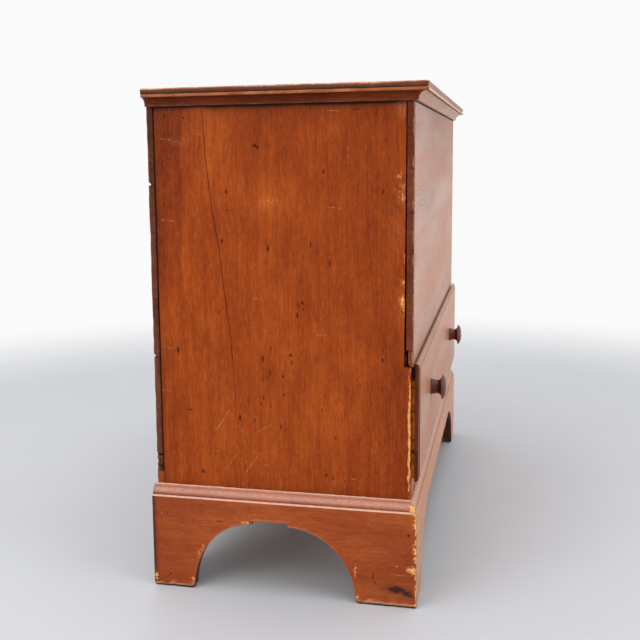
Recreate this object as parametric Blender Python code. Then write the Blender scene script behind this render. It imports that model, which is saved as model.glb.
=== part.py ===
"""Blanket chest: a lidded well over one lipped drawer, on a bracket base.

Metres, +Z up, length along X, front towards -Y.
The origin is on the floor, under the middle of the whole chest.
"""
import math

import bmesh
import bpy

# Clearances
SEAT_GAP = 0.0003           # between faces that bear on each other
FRONT_JOINT = 0.0008        # open joint between the front board and the notches that hold it
LID_FIT = 0.0008            # round the case, inside the lid's mouldings
BORE_FIT = 0.0004           # round a screw, nail, spigot or pin
CUT_PAST = 0.002            # how far a cut runs past the face that it opens

# Case boards
CASE_LENGTH = 1.030         # over the outer faces of the end boards
CASE_DEPTH = 0.460          # rear face of the back boards to the face of the front board
END_THICKNESS = 0.020
END_LAP = 0.046             # how far the end boards reach down behind the base
END_EDGE_SETBACK = 0.004    # lower front edges of the end boards, behind the front board's face
FRONT_HEIGHT = 0.4486
FRONT_THICKNESS = 0.0125
FRONT_HEEL_RADIUS = 0.008   # rounded lower inner edge of the front board
BACK_THICKNESS = 0.013
BACK_TOP_HEIGHT = 0.142
BACK_SEAM_RISE = 0.0023     # lower edge of the middle back board above the underside of the well floor
BACK_SEAM = 0.0008
BACK_LAP = 0.044            # how far the bottom back board reaches down behind the base
FLOOR_THICKNESS = 0.013     # floor of the well
FLOOR_LIFT = 0.0015         # underside of the well floor above the front board's lower edge
DADO_DEPTH = 0.006          # grooves in the end boards for the well floor

# Drawer opening
RAIL_SHOW = 0.0315          # rail face that shows between the base and the drawer's lip
RAIL_LAP = 0.036            # how far the rail reaches down behind the base
RAIL_THICKNESS = 0.018
RUNNER_WIDTH = 0.022
RUNNER_HEIGHT = 0.022

# Bracket base
BASE_FACE_HEIGHT = 0.1695
BASE_MOULD_HEIGHT = 0.0165
BASE_MOULD_FILLET = 0.0030  # flat against the case at the top of the moulding
BASE_MOULD_LAND = 0.0032    # narrow land at the outer arris
BASE_MOULD_QUIRK = 0.0012   # groove between the land and the round
BASE_SIDE_THICKNESS = 0.0215
BASE_FRONT_THICKNESS = 0.0135
BASE_REAR_REACH = 0.0040    # end base boards past the rear face of the back boards
SIDE_FRONT_FOOT = 0.1045
SIDE_REAR_FOOT = 0.0765
SIDE_FLAT = 0.0650          # flat between the arms of an end arch
SIDE_ARM_SPLIT = 0.525      # share of the curved length in the front arm
SIDE_SKIRT = 0.0353         # board left above the flat of the end arches
FRONT_FOOT = 0.0920
FRONT_ARM = 0.1250
FRONT_SKIRT = 0.0470
ARCH_STEP = 0.0066          # small square step where an arm meets the flat
BRACKET_THICKNESS = 0.018
BRACKET_LENGTH = 0.110
BRACKET_FOOT = 0.060
BRACKET_SKIRT = 0.045
BLOCK_SIZE = 0.026

# Drawer
LIP_HEIGHT = 0.2045
LIP_OVERLAP = 0.005         # lip past the opening, above and below
LIP_END_SETBACK = 0.0025    # ends of the lip, inside the end faces
LIP_THICKNESS = 0.0085
LIP_CLEAR = 0.0022          # back of the lip to the front board's face
LIP_EDGE = 0.0026           # square part of the lip's edge
COLLAR_SETBACK = 0.0026     # collar behind the lip, inside the lip's ends
COLLAR_RISE = 0.0010        # collar above and below the body of the drawer front
COLLAR_CLEAR = 0.0005       # back of the collar to the front edges of the end boards
THUMB_WIDTH = 0.0075        # rounded edge on the face of the drawer
THUMB_STEP = 0.0012
DRAWER_FRONT_THICKNESS = 0.023
DRAWER_SIDE_THICKNESS = 0.011
DRAWER_BACK_THICKNESS = 0.011
DRAWER_BOTTOM_THICKNESS = 0.007
DRAWER_BOTTOM_LIFT = 0.010
DRAWER_GROOVE = 0.005
DRAWER_SIDE_PLAY = 0.0025
DRAWER_TOP_PLAY = 0.0020
DRAWER_HEEL_PLAY = 0.0008   # under the drawer front, above the rail
DRAWER_REAR_SPACE = 0.014
DRAWER_BACK_DROP = 0.008    # top of the drawer back below the sides
TAIL_COUNT = 3
TAIL_DEPTH = 0.010
TAIL_SHARE = 0.47           # share of the pitch in the neck of a dovetail
TAIL_FLARE = 0.003
KNOB_SPACING = 0.550
KNOB_RISE = 0.0080          # above the middle of the drawer face
KNOB_HEAD_RADIUS = 0.0235
KNOB_NECK_RADIUS = 0.0125
KNOB_COLLAR_RADIUS = 0.0142
KNOB_COLLAR_LENGTH = 0.0028
KNOB_NECK_LENGTH = 0.0110
KNOB_RIM = 0.0213
KNOB_PROJECTION = 0.0290
KNOB_CROWN = (12, 84)       # stretch of the crown's ellipse, in degrees up from the rim
KNOB_CROWN_FLAT = 0.0007    # radius of the flat at the top of the crown
SPIGOT_RADIUS = 0.0070
SPIGOT_SHORT = 0.0010       # spigot end inside the rear face of the drawer front
KNOB_SIDES = 28

# Lid
LID_THICKNESS = 0.019
LID_EDGE = 0.0098           # thinner edge that lies on the mouldings
LID_ARRIS = 0.0025
LID_OVERHANG = 0.024
LID_REAR_OVERHANG = 0.001
MOULD_HEIGHT = 0.0196
MOULD_FOOT = 0.006
MOULD_FILLET = 0.0052
MOULD_QUIRK = 0.0028
MOULD_HEEL = 0.0022

# Hinges
HINGE_SPACING = 0.660
HINGE_LENGTH = 0.060
LEAF_WIDTH = 0.028
LEAF_THICKNESS = 0.002
KNUCKLE_RADIUS = 0.0035
KNUCKLE_SHARE = 0.30        # share of the hinge length in each outer knuckle
PIN_RADIUS = 0.0015
ROUND_SIDES = 16
SCREW_END_MARGIN = 0.012    # from the ends of a leaf
SCREW_EDGE_MARGIN = 0.007   # from the long edge of a leaf
SCREW_HEAD_RADIUS = 0.0032
SCREW_HEAD_DEPTH = 0.0018
SCREW_SHANK_RADIUS = 0.0016
SCREW_LENGTH = 0.0105

# Nails
NAIL_HEAD_WIDTH = 0.0042
NAIL_HEAD_HEIGHT = 0.0030
NAIL_TIP = 0.0016
NAIL_BITE = 0.018           # nail in the second board
NAIL_PROUD = 0.0002
BACK_NAIL_INSET = 0.030     # from the upper and lower edges of a back board
FLOOR_NAIL_INSET = 0.048    # behind the front edge of the end board
RUNNER_NAIL_INSET = 0.088   # before the rear face of the chest

ARC_STEPS = 6
SHARP_ANGLE = 40            # degrees, past which an edge of a round piece shows sharp

# Levels
BASE_TOP_Z = BASE_FACE_HEIGHT + BASE_MOULD_HEIGHT
LIP_BOTTOM_Z = BASE_TOP_Z + RAIL_SHOW
LIP_TOP_Z = LIP_BOTTOM_Z + LIP_HEIGHT
OPENING_BOTTOM_Z = LIP_BOTTOM_Z + LIP_OVERLAP
OPENING_TOP_Z = LIP_TOP_Z - LIP_OVERLAP
CASE_TOP_Z = OPENING_TOP_Z + FRONT_HEIGHT
END_BOTTOM_Z = BASE_TOP_Z - END_LAP
FLOOR_Z = OPENING_TOP_Z + FLOOR_LIFT
LID_UNDER_Z = CASE_TOP_Z + SEAT_GAP
LID_TOP_Z = LID_UNDER_Z + LID_THICKNESS
MOULD_TOP_Z = LID_TOP_Z - LID_EDGE - SEAT_GAP
HINGE_Z = LID_UNDER_Z - SEAT_GAP - KNUCKLE_RADIUS

# Places across the depth, with the whole depth centred on the origin
REAR_REACH = SEAT_GAP + 2 * KNUCKLE_RADIUS
FRONT_REACH = LIP_CLEAR + LIP_THICKNESS + KNOB_PROJECTION
REAR_Y = (FRONT_REACH + CASE_DEPTH - REAR_REACH) / 2
FRONT_Y = REAR_Y - CASE_DEPTH
CASE_FRONT_Y = FRONT_Y + END_EDGE_SETBACK
BACK_INNER_Y = REAR_Y - BACK_THICKNESS
FRONT_INNER_Y = FRONT_Y + FRONT_THICKNESS
LIP_BACK_Y = FRONT_Y - LIP_CLEAR
COLLAR_Y = CASE_FRONT_Y - COLLAR_CLEAR
DRAWER_FACE_Y = LIP_BACK_Y - LIP_THICKNESS
DRAWER_BODY_Y = DRAWER_FACE_Y + DRAWER_FRONT_THICKNESS
DRAWER_REAR_Y = BACK_INNER_Y - DRAWER_REAR_SPACE
HINGE_Y = REAR_Y + SEAT_GAP + KNUCKLE_RADIUS

# Places along the length
HALF = CASE_LENGTH / 2
INNER_HALF = HALF - END_THICKNESS
DRAWER_HALF = INNER_HALF - DRAWER_SIDE_PLAY
LIP_HALF = HALF - LIP_END_SETBACK
COLLAR_HALF = LIP_HALF - COLLAR_SETBACK

# Drawer levels
DRAWER_LOW_Z = OPENING_BOTTOM_Z + SEAT_GAP
DRAWER_HIGH_Z = OPENING_TOP_Z - DRAWER_TOP_PLAY
DRAWER_BOTTOM_Z = DRAWER_LOW_Z + DRAWER_BOTTOM_LIFT
TAIL_PITCH = (DRAWER_HIGH_Z - DRAWER_LOW_Z) / TAIL_COUNT
KNOB_Z = (LIP_BOTTOM_Z + LIP_TOP_Z) / 2 + KNOB_RISE

# Finishes: colour as seen, roughness, metallic
STAINED_PINE = ((160, 74, 33), 0.38, 0.0)
STAINED_FRONT = ((150, 78, 46), 0.34, 0.0)
STAINED_EDGE = ((96, 46, 27), 0.45, 0.0)
RAW_PINE = ((176, 126, 74), 0.70, 0.0)
TURNED_KNOB = ((78, 34, 20), 0.30, 0.0)
IRON = ((62, 56, 52), 0.55, 0.85)

SIDES = {"left": -1, "right": 1}


def clear_scene():
    """Takes every object out of the scene."""
    for obj in list(bpy.data.objects):
        bpy.data.objects.remove(obj, do_unlink=True)


def linear(channel):
    """One colour channel from 0 to 255, as the linear value that a shader takes."""
    share = channel / 255
    return share / 12.92 if share <= 0.04045 else ((share + 0.055) / 1.055) ** 2.4


def make_material(name, finish):
    """A Principled material for one piece."""
    colour, roughness, metallic = finish
    material = bpy.data.materials.new(name)
    material.use_nodes = True
    shader = material.node_tree.nodes["Principled BSDF"]
    shader.inputs["Base Color"].default_value = (*[linear(c) for c in colour], 1.0)
    shader.inputs["Roughness"].default_value = roughness
    shader.inputs["Metallic"].default_value = metallic
    return material


def make_empty(name, location):
    """A parent for the pieces that move together, placed on their joint's axis."""
    obj = bpy.data.objects.new(name, None)
    obj.location = location
    bpy.context.scene.collection.objects.link(obj)
    return obj


def mesh_from_rings(name, shapes, owner):
    """One mesh of closed shapes, each a stack of rings joined by side faces and capped at both ends."""
    bm = bmesh.new()
    for rings in shapes:
        rows = []
        for ring in rings:
            rows.append([bm.verts.new([p - o for p, o in zip(point, owner.location)]) for point in ring])
        for low, high in zip(rows, rows[1:]):
            for i in range(len(low)):
                j = (i + 1) % len(low)
                bm.faces.new((low[i], low[j], high[j], high[i]))
        bm.faces.new(rows[0])
        bm.faces.new(rows[-1])
    bmesh.ops.recalc_face_normals(bm, faces=bm.faces)
    mesh = bpy.data.meshes.new(name)
    bm.to_mesh(mesh)
    bm.free()
    return mesh


def make_object(name, shapes, owner):
    """An object on its parent, from stacks of rings in world places."""
    obj = bpy.data.objects.new(name, mesh_from_rings(name, shapes, owner))
    obj.parent = owner
    bpy.context.scene.collection.objects.link(obj)
    return obj


def piece(name, rings, owner, finish, smooth=False):
    """One named piece of the chest with its own material."""
    obj = make_object(name, [rings], owner)
    obj.data.materials.append(make_material(name + "_finish", finish))
    if smooth:
        obj.data.shade_smooth()
        obj.data.set_sharp_from_angle(angle=math.radians(SHARP_ANGLE))
    return obj


def cut(target, shapes):
    """Cuts all the shapes out of a piece."""
    cutter = make_object(target.name + "_cuts", shapes, target.parent)
    cutter.hide_render = True
    cutter.display_type = "WIRE"
    modifier = target.modifiers.new("cuts", "BOOLEAN")
    modifier.operation = "DIFFERENCE"
    modifier.solver = "EXACT"
    modifier.object = cutter


def box(low, high):
    """Rings of a block between two corners."""
    corners = [(low[0], low[1]), (high[0], low[1]), (high[0], high[1]), (low[0], high[1])]
    return [[(x, y, z) for x, y in corners] for z in (low[2], high[2])]


def along_x(outline, start, end):
    """Rings of an outline in Y and Z, drawn out along X."""
    return [[(x, y, z) for y, z in outline] for x in (start, end)]


def along_y(outline, start, end):
    """Rings of an outline in X and Z, drawn out along Y."""
    return [[(x, y, z) for x, z in outline] for y in (start, end)]


def arc(centre, radii, first, last, steps=ARC_STEPS):
    """Points on an ellipse from the first angle to the last, in degrees."""
    points = []
    for i in range(steps + 1):
        angle = math.radians(first + (last - first) * i / steps)
        points.append((centre[0] + radii[0] * math.cos(angle), centre[1] + radii[1] * math.sin(angle)))
    return points


def turned(profile, axis, centre, sides=ROUND_SIDES):
    """Rings of a turned form: radius and place along the axis (0 is X, 1 is Y, 2 is Z)."""
    rings = []
    for radius, along in profile:
        ring = []
        for i in range(sides):
            angle = 2 * math.pi * (i + 0.5) / sides
            across = [centre[0] + radius * math.cos(angle), centre[1] + radius * math.sin(angle)]
            across.insert(axis, along)
            ring.append(tuple(across))
        rings.append(ring)
    return rings


def nail(axis, face, across, direction, length, clear=0.0):
    """Rings of a tapered cut nail, or of its hole where clear is over 0.

    The head lies at face on the axis (0 is X, 1 is Y) and the nail runs in the direction, -1 or 1.
    """
    head = face - direction * (NAIL_PROUD + (CUT_PAST if clear else 0.0))
    rings = []
    for along, width, height in (
        (head, NAIL_HEAD_WIDTH, NAIL_HEAD_HEIGHT),
        (face + direction * (length + clear), NAIL_TIP, NAIL_TIP),
    ):
        ring = []
        for a, b in ((-1, -1), (1, -1), (1, 1), (-1, 1)):
            point = [across[0] + a * (width / 2 + clear), across[1] + b * (height / 2 + clear)]
            point.insert(axis, along)
            ring.append(tuple(point))
        rings.append(ring)
    return rings


def back_board_levels():
    """Lower and upper edge of each back board, top board first."""
    top_low = CASE_TOP_Z - BACK_TOP_HEIGHT
    middle_low = FLOOR_Z + BACK_SEAM_RISE
    return {
        "top": (top_low, CASE_TOP_Z),
        "middle": (middle_low, top_low - BACK_SEAM),
        "bottom": (BASE_TOP_Z - BACK_LAP, middle_low - BACK_SEAM),
    }


def back_nails(board, side):
    """Places of the nails that hold one back board to one end board, as X and Z."""
    low, high = back_board_levels()[board]
    x = side * (HALF - END_THICKNESS / 2)
    return {"upper": (x, high - BACK_NAIL_INSET), "lower": (x, low + BACK_NAIL_INSET)}


def end_nails():
    """Places of the nails through an end board into the well floor and the runner, as Y and Z."""
    return {
        "floor": (CASE_FRONT_Y + FLOOR_NAIL_INSET, FLOOR_Z + FLOOR_THICKNESS / 2),
        "runner": (REAR_Y - RUNNER_NAIL_INSET, OPENING_BOTTOM_Z - RUNNER_HEIGHT / 2),
    }


def end_nail_shape(place, side, clear=0.0):
    """Rings of a nail, or its hole, driven inwards through an end board."""
    return nail(0, side * HALF, place, -side, END_THICKNESS + NAIL_BITE, clear)


def back_nail_shape(place, clear=0.0):
    """Rings of a nail, or its hole, driven forwards through a back board."""
    return nail(1, REAR_Y, place, -1, BACK_THICKNESS + NAIL_BITE, clear)


def build_ends(case):
    """End boards, notched at the front for the front board and grooved inside for the well floor."""
    notch_y = FRONT_INNER_Y + FRONT_JOINT
    notch_z = OPENING_TOP_Z - FRONT_JOINT
    rear_y = BACK_INNER_Y - SEAT_GAP
    outline = [
        (rear_y, END_BOTTOM_Z), (CASE_FRONT_Y, END_BOTTOM_Z), (CASE_FRONT_Y, notch_z),
        (notch_y, notch_z), (notch_y, CASE_TOP_Z), (rear_y, CASE_TOP_Z),
    ]
    for name, side in SIDES.items():
        board = along_x(outline, side * INNER_HALF, side * HALF)
        end = piece(f"end_board_{name}", board, case, STAINED_PINE)
        dado = [(FRONT_INNER_Y, FLOOR_Z - SEAT_GAP), (rear_y + CUT_PAST, FLOOR_Z - SEAT_GAP),
                (rear_y + CUT_PAST, FLOOR_Z + FLOOR_THICKNESS + SEAT_GAP),
                (FRONT_INNER_Y, FLOOR_Z + FLOOR_THICKNESS + SEAT_GAP)]
        cut(end, [along_x(dado, side * (INNER_HALF - CUT_PAST), side * (INNER_HALF + DADO_DEPTH))])
        holes = [end_nail_shape(place, side, BORE_FIT) for place in end_nails().values()]
        for level in back_board_levels():
            holes += [back_nail_shape(place, BORE_FIT) for place in back_nails(level, side).values()]
        cut(end, holes)


def build_front_board(case):
    """Front board of the well, its lower inner edge rounded."""
    radius = min(FRONT_HEEL_RADIUS, FRONT_THICKNESS - SEAT_GAP)
    heel = arc((FRONT_INNER_Y - radius, OPENING_TOP_Z + radius), (radius, radius), -90, 0)
    outline = [(FRONT_Y, CASE_TOP_Z), (FRONT_Y, OPENING_TOP_Z), *heel, (FRONT_INNER_Y, CASE_TOP_Z)]
    piece("front_board", along_x(outline, -HALF, HALF), case, STAINED_FRONT)


def hinge_middles():
    """Middle of each hinge along X."""
    return {name: side * HINGE_SPACING / 2 for name, side in SIDES.items()}


def screw_places(middle):
    """Places of the two screws of a leaf along X."""
    reach = HINGE_LENGTH / 2 - SCREW_END_MARGIN
    return {"1": middle - reach, "2": middle + reach}


def screw_profile(start, direction, clear=0.0):
    """Turned profile of a countersunk screw, or of its hole, from its head's face."""
    mouth = [(SCREW_HEAD_RADIUS + clear, start - direction * CUT_PAST)] if clear else []
    return mouth + [
        (SCREW_HEAD_RADIUS + clear, start),
        (SCREW_SHANK_RADIUS + clear, start + direction * SCREW_HEAD_DEPTH),
        (SCREW_SHANK_RADIUS + clear, start + direction * (SCREW_LENGTH + clear)),
    ]


def case_screw(x, clear=0.0):
    """Rings of a screw, or its hole, through a hinge's case leaf into the back board."""
    start = REAR_Y + SEAT_GAP + LEAF_THICKNESS - SEAT_GAP / 2
    return turned(screw_profile(start, -1, clear), 1, (x, HINGE_Z - LEAF_WIDTH + SCREW_EDGE_MARGIN))


def lid_screw(x, clear=0.0):
    """Rings of a screw, or its hole, through a hinge's lid leaf into the lid board."""
    start = LID_UNDER_Z - SEAT_GAP - LEAF_THICKNESS + SEAT_GAP / 2
    return turned(screw_profile(start, 1, clear), 2, (x, HINGE_Y - LEAF_WIDTH + SCREW_EDGE_MARGIN))


def build_back(case):
    """Three back boards laid across the rear edges of the ends, the top one cut for the hinges."""
    for board, (low, high) in back_board_levels().items():
        block = box((-HALF, BACK_INNER_Y, low), (HALF, REAR_Y, high))
        back = piece(f"back_board_{board}", block, case, STAINED_EDGE)
        cuts = []
        for side in SIDES.values():
            cuts += [back_nail_shape(place, BORE_FIT) for place in back_nails(board, side).values()]
        if board == "top":
            for middle in hinge_middles().values():
                reach = HINGE_LENGTH / 2 + SEAT_GAP
                cuts.append(box(
                    (middle - reach, BACK_INNER_Y - CUT_PAST, LID_UNDER_Z - LEAF_THICKNESS - 2 * SEAT_GAP),
                    (middle + reach, REAR_Y + CUT_PAST, CASE_TOP_Z + CUT_PAST)))
                cuts += [case_screw(x, BORE_FIT) for x in screw_places(middle).values()]
        cut(back, cuts)


def build_floor_and_rails(case):
    """Well floor in its grooves, the rail under the drawer and the two runners."""
    reach = INNER_HALF + DADO_DEPTH - SEAT_GAP
    block = box((-reach, FRONT_INNER_Y + SEAT_GAP, FLOOR_Z),
                (reach, BACK_INNER_Y - SEAT_GAP, FLOOR_Z + FLOOR_THICKNESS))
    floor = piece("well_floor", block, case, RAW_PINE)
    cut(floor, [end_nail_shape(end_nails()["floor"], side, BORE_FIT) for side in SIDES.values()])
    rail_half = INNER_HALF - SEAT_GAP
    rail_back_y = CASE_FRONT_Y + RAIL_THICKNESS
    piece("front_rail", box((-rail_half, CASE_FRONT_Y, BASE_TOP_Z - RAIL_LAP),
                            (rail_half, rail_back_y, OPENING_BOTTOM_Z)), case, STAINED_FRONT)
    for name, side in SIDES.items():
        edges = sorted((side * rail_half, side * (rail_half - RUNNER_WIDTH)))
        runner = piece(f"drawer_runner_{name}", box(
            (edges[0], rail_back_y + SEAT_GAP, OPENING_BOTTOM_Z - RUNNER_HEIGHT),
            (edges[1], BACK_INNER_Y - SEAT_GAP, OPENING_BOTTOM_Z)), case, RAW_PINE)
        cut(runner, [end_nail_shape(end_nails()["runner"], side, BORE_FIT)])


def base_profile(thickness):
    """Section of a base board with its moulded top edge: distance out from the case and height."""
    land_z = BASE_FACE_HEIGHT + BASE_MOULD_QUIRK
    quirk_out = thickness - BASE_MOULD_LAND
    round_out = quirk_out - BASE_MOULD_QUIRK
    shoulder_z = BASE_TOP_Z - BASE_MOULD_QUIRK
    radii = (round_out - BASE_MOULD_FILLET, shoulder_z - BASE_FACE_HEIGHT)
    bulge = arc((BASE_MOULD_FILLET, BASE_FACE_HEIGHT), radii, 0, 90)
    return [
        (SEAT_GAP, 0.0), (thickness, 0.0), (thickness, BASE_FACE_HEIGHT),
        (quirk_out, land_z), *bulge, (BASE_MOULD_FILLET, BASE_TOP_Z), (SEAT_GAP, BASE_TOP_Z),
    ]


def arch(start, end, arms, flat_z):
    """Outline of a bracket arch from one foot to the other: an arm, a step, the flat, a step and an arm."""
    rise = flat_z - ARCH_STEP
    first = arc((start + arms[0], 0.0), (arms[0], rise), 180, 90, 2 * ARC_STEPS)
    last = arc((end - arms[1], 0.0), (arms[1], rise), 90, 0, 2 * ARC_STEPS)
    flat = [(start + arms[0], flat_z), (end - arms[1], flat_z)]
    return [(start, -CUT_PAST), *first, *flat, *last, (end, -CUT_PAST)]


def base_corner_y():
    """Outer face of the front base board."""
    return CASE_FRONT_Y - BASE_FRONT_THICKNESS


def side_arch():
    """Outline of the arch in an end base board, as Y and Z."""
    start = base_corner_y() + SIDE_FRONT_FOOT
    end = REAR_Y + BASE_REAR_REACH - SIDE_REAR_FOOT
    curved = end - start - SIDE_FLAT
    arms = (SIDE_ARM_SPLIT * curved, (1 - SIDE_ARM_SPLIT) * curved)
    return arch(start, end, arms, BASE_FACE_HEIGHT - SIDE_SKIRT)


def front_arch():
    """Outline of the arch in the front base board, as X and Z."""
    reach = HALF + BASE_SIDE_THICKNESS - FRONT_FOOT
    return arch(-reach, reach, (FRONT_ARM, FRONT_ARM), BASE_FACE_HEIGHT - FRONT_SKIRT)


def build_base(case):
    """Moulded base boards mitred at the front corners, with rear brackets and corner blocks inside."""
    slant = BASE_SIDE_THICKNESS / BASE_FRONT_THICKNESS
    front_section = base_profile(BASE_FRONT_THICKNESS)
    ends = []
    for side in SIDES.values():
        ends.append([(side * (HALF + out * slant - SEAT_GAP), CASE_FRONT_Y - out, z)
                     for out, z in front_section])
    front = piece("base_front", ends, case, STAINED_FRONT)
    cut(front, [along_y(front_arch(), base_corner_y() - CUT_PAST, CASE_FRONT_Y + CUT_PAST)])
    side_section = base_profile(BASE_SIDE_THICKNESS)
    for name, side in SIDES.items():
        mitre = [(side * (HALF + out), CASE_FRONT_Y - out / slant + SEAT_GAP, z) for out, z in side_section]
        rear = [(side * (HALF + out), REAR_Y + BASE_REAR_REACH, z) for out, z in side_section]
        board = piece(f"base_{name}", [mitre, rear], case, STAINED_PINE)
        through = sorted((side * (HALF - CUT_PAST), side * (HALF + BASE_SIDE_THICKNESS + CUT_PAST)))
        cut(board, [along_x(side_arch(), *through)])
        build_bracket(case, name, side)
        inner_x = sorted((side * HALF, side * (HALF - BLOCK_SIZE)))
        piece(f"corner_block_{name}", box((inner_x[0], CASE_FRONT_Y, SEAT_GAP),
                                          (inner_x[1], CASE_FRONT_Y + BLOCK_SIZE, END_BOTTOM_Z - SEAT_GAP)),
              case, RAW_PINE)


def build_bracket(case, name, side):
    """Rear bracket: a foot across the back corner with a curved arm."""
    top_z = END_BOTTOM_Z - SEAT_GAP
    arm = arc((BRACKET_LENGTH, 0.0), (BRACKET_LENGTH - BRACKET_FOOT, top_z - BRACKET_SKIRT), 180, 90)
    outline = [(0.0, 0.0), *arm, (BRACKET_LENGTH, top_z), (0.0, top_z)]
    placed = [(side * (HALF - along), z) for along, z in outline]
    piece(f"rear_bracket_{name}", along_y(placed, REAR_Y - BRACKET_THICKNESS, REAR_Y), case, STAINED_EDGE)


def rectangle(half, low, high, y):
    """One ring of a stack of rectangles that face the front."""
    return [(-half, y, low), (half, y, low), (half, y, high), (-half, y, high)]


def tail_levels():
    """Middle height of each dovetail."""
    return [DRAWER_HIGH_Z - TAIL_PITCH * (i + 0.5) for i in range(TAIL_COUNT)]


def tail(middle, root_y, clear=0.0):
    """Outline of one dovetail, or of its socket, from its root to its tip and back, as Y and Z."""
    tip_y = DRAWER_BODY_Y - TAIL_DEPTH - clear
    neck = TAIL_SHARE * TAIL_PITCH / 2 + clear
    wide = neck + TAIL_FLARE
    tip = [(tip_y, middle + wide), (tip_y, middle - wide)]
    return [(root_y, middle + neck), *tip, (root_y, middle - neck)]


def side_span(side):
    """Inner and outer face of a drawer side along X, in rising order."""
    return sorted((side * DRAWER_HALF, side * (DRAWER_HALF - DRAWER_SIDE_THICKNESS)))


def bottom_groove(low, high):
    """Block that cuts the groove for the drawer bottom between two X and Y places."""
    return box((low[0], low[1], DRAWER_BOTTOM_Z - SEAT_GAP),
               (high[0], high[1], DRAWER_BOTTOM_Z + DRAWER_BOTTOM_THICKNESS + SEAT_GAP))


def build_drawer_front(drawer):
    """Drawer front with a collar, a lip, a stepped round edge, dovetail sockets and knob holes."""
    body_low = OPENING_BOTTOM_Z + DRAWER_HEEL_PLAY
    rings = [rectangle(DRAWER_HALF, body_low, DRAWER_HIGH_Z, y) for y in (DRAWER_BODY_Y, COLLAR_Y)]
    for y in (COLLAR_Y, LIP_BACK_Y):
        rings.append(rectangle(COLLAR_HALF, body_low - COLLAR_RISE, DRAWER_HIGH_Z + COLLAR_RISE, y))
    rings.append(rectangle(LIP_HALF, LIP_BOTTOM_Z, LIP_TOP_Z, LIP_BACK_Y))
    depth = LIP_THICKNESS - LIP_EDGE - THUMB_STEP
    for inset, forward in arc((THUMB_WIDTH, 0.0), (THUMB_WIDTH, depth), 180, 90):
        rings.append(rectangle(LIP_HALF - inset, LIP_BOTTOM_Z + inset, LIP_TOP_Z - inset,
                               LIP_BACK_Y - LIP_EDGE - forward))
    rings.append(rectangle(LIP_HALF - THUMB_WIDTH, LIP_BOTTOM_Z + THUMB_WIDTH, LIP_TOP_Z - THUMB_WIDTH,
                           DRAWER_FACE_Y))
    front = piece("drawer_front", rings, drawer, STAINED_FRONT)
    cuts = []
    for side in SIDES.values():
        inner, outer = sorted(side_span(side), key=abs)
        for middle in tail_levels():
            socket = tail(middle, DRAWER_BODY_Y + CUT_PAST, BORE_FIT)
            cuts.append(along_x(socket, inner - side * SEAT_GAP, outer + side * CUT_PAST))
        hole = [(SPIGOT_RADIUS + BORE_FIT, y) for y in (DRAWER_FACE_Y - CUT_PAST, DRAWER_BODY_Y + CUT_PAST)]
        cuts.append(turned(hole, 1, (side * KNOB_SPACING / 2, KNOB_Z), KNOB_SIDES))
    cut(front, cuts)
    reach = DRAWER_HALF - DRAWER_SIDE_THICKNESS + DRAWER_GROOVE
    cut(front, [bottom_groove((-reach, DRAWER_BODY_Y - DRAWER_GROOVE), (reach, DRAWER_BODY_Y + CUT_PAST))])


def build_drawer_box(drawer):
    """Dovetailed sides, the back between them and the bottom in its grooves."""
    root_y = DRAWER_BODY_Y + SEAT_GAP
    outline = [(DRAWER_REAR_Y, DRAWER_LOW_Z), (DRAWER_REAR_Y, DRAWER_HIGH_Z), (root_y, DRAWER_HIGH_Z)]
    for middle in tail_levels():
        outline += tail(middle, root_y)
    outline.append((root_y, DRAWER_LOW_Z))
    inner_half = DRAWER_HALF - DRAWER_SIDE_THICKNESS
    for name, side in SIDES.items():
        board = piece(f"drawer_side_{name}", along_x(outline, *side_span(side)), drawer, RAW_PINE)
        groove_x = sorted((side * (inner_half - CUT_PAST), side * (inner_half + DRAWER_GROOVE)))
        cut(board, [bottom_groove((groove_x[0], root_y - TAIL_DEPTH - CUT_PAST),
                                  (groove_x[1], DRAWER_REAR_Y + CUT_PAST))])
    bottom_half = inner_half + DRAWER_GROOVE - SEAT_GAP
    bottom_top_z = DRAWER_BOTTOM_Z + DRAWER_BOTTOM_THICKNESS
    piece("drawer_bottom", box((-bottom_half, DRAWER_BODY_Y - DRAWER_GROOVE + SEAT_GAP, DRAWER_BOTTOM_Z),
                               (bottom_half, DRAWER_REAR_Y, bottom_top_z)), drawer, RAW_PINE)
    back_half = inner_half - SEAT_GAP
    block = box((-back_half, DRAWER_REAR_Y - DRAWER_BACK_THICKNESS, bottom_top_z + SEAT_GAP),
                (back_half, DRAWER_REAR_Y, DRAWER_HIGH_Z - DRAWER_BACK_DROP))
    piece("drawer_back", block, drawer, RAW_PINE)


def knob_profile():
    """Radius and distance out from the drawer face, from the spigot's end to the crown of the head."""
    flare_start = KNOB_COLLAR_LENGTH + KNOB_NECK_LENGTH
    spigot_end = -(DRAWER_FRONT_THICKNESS - SPIGOT_SHORT)
    flare_radii = (KNOB_HEAD_RADIUS - KNOB_NECK_RADIUS, KNOB_RIM - flare_start)
    flare = arc((KNOB_HEAD_RADIUS, flare_start), flare_radii, 180, 90)
    crown = arc((0.0, KNOB_RIM), (KNOB_HEAD_RADIUS, KNOB_PROJECTION - KNOB_RIM), *KNOB_CROWN)
    return [
        (SPIGOT_RADIUS, spigot_end), (SPIGOT_RADIUS, SEAT_GAP), (KNOB_COLLAR_RADIUS, SEAT_GAP),
        (KNOB_COLLAR_RADIUS, KNOB_COLLAR_LENGTH), *flare, *crown, (KNOB_CROWN_FLAT, KNOB_PROJECTION),
    ]


def build_knobs(drawer):
    """Turned knobs with spigots through the drawer front."""
    profile = [(radius, DRAWER_FACE_Y - out) for radius, out in knob_profile()]
    for name, side in SIDES.items():
        rings = turned(profile, 1, (side * KNOB_SPACING / 2, KNOB_Z), KNOB_SIDES)
        piece(f"knob_{name}", rings, drawer, TURNED_KNOB, smooth=True)


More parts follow.
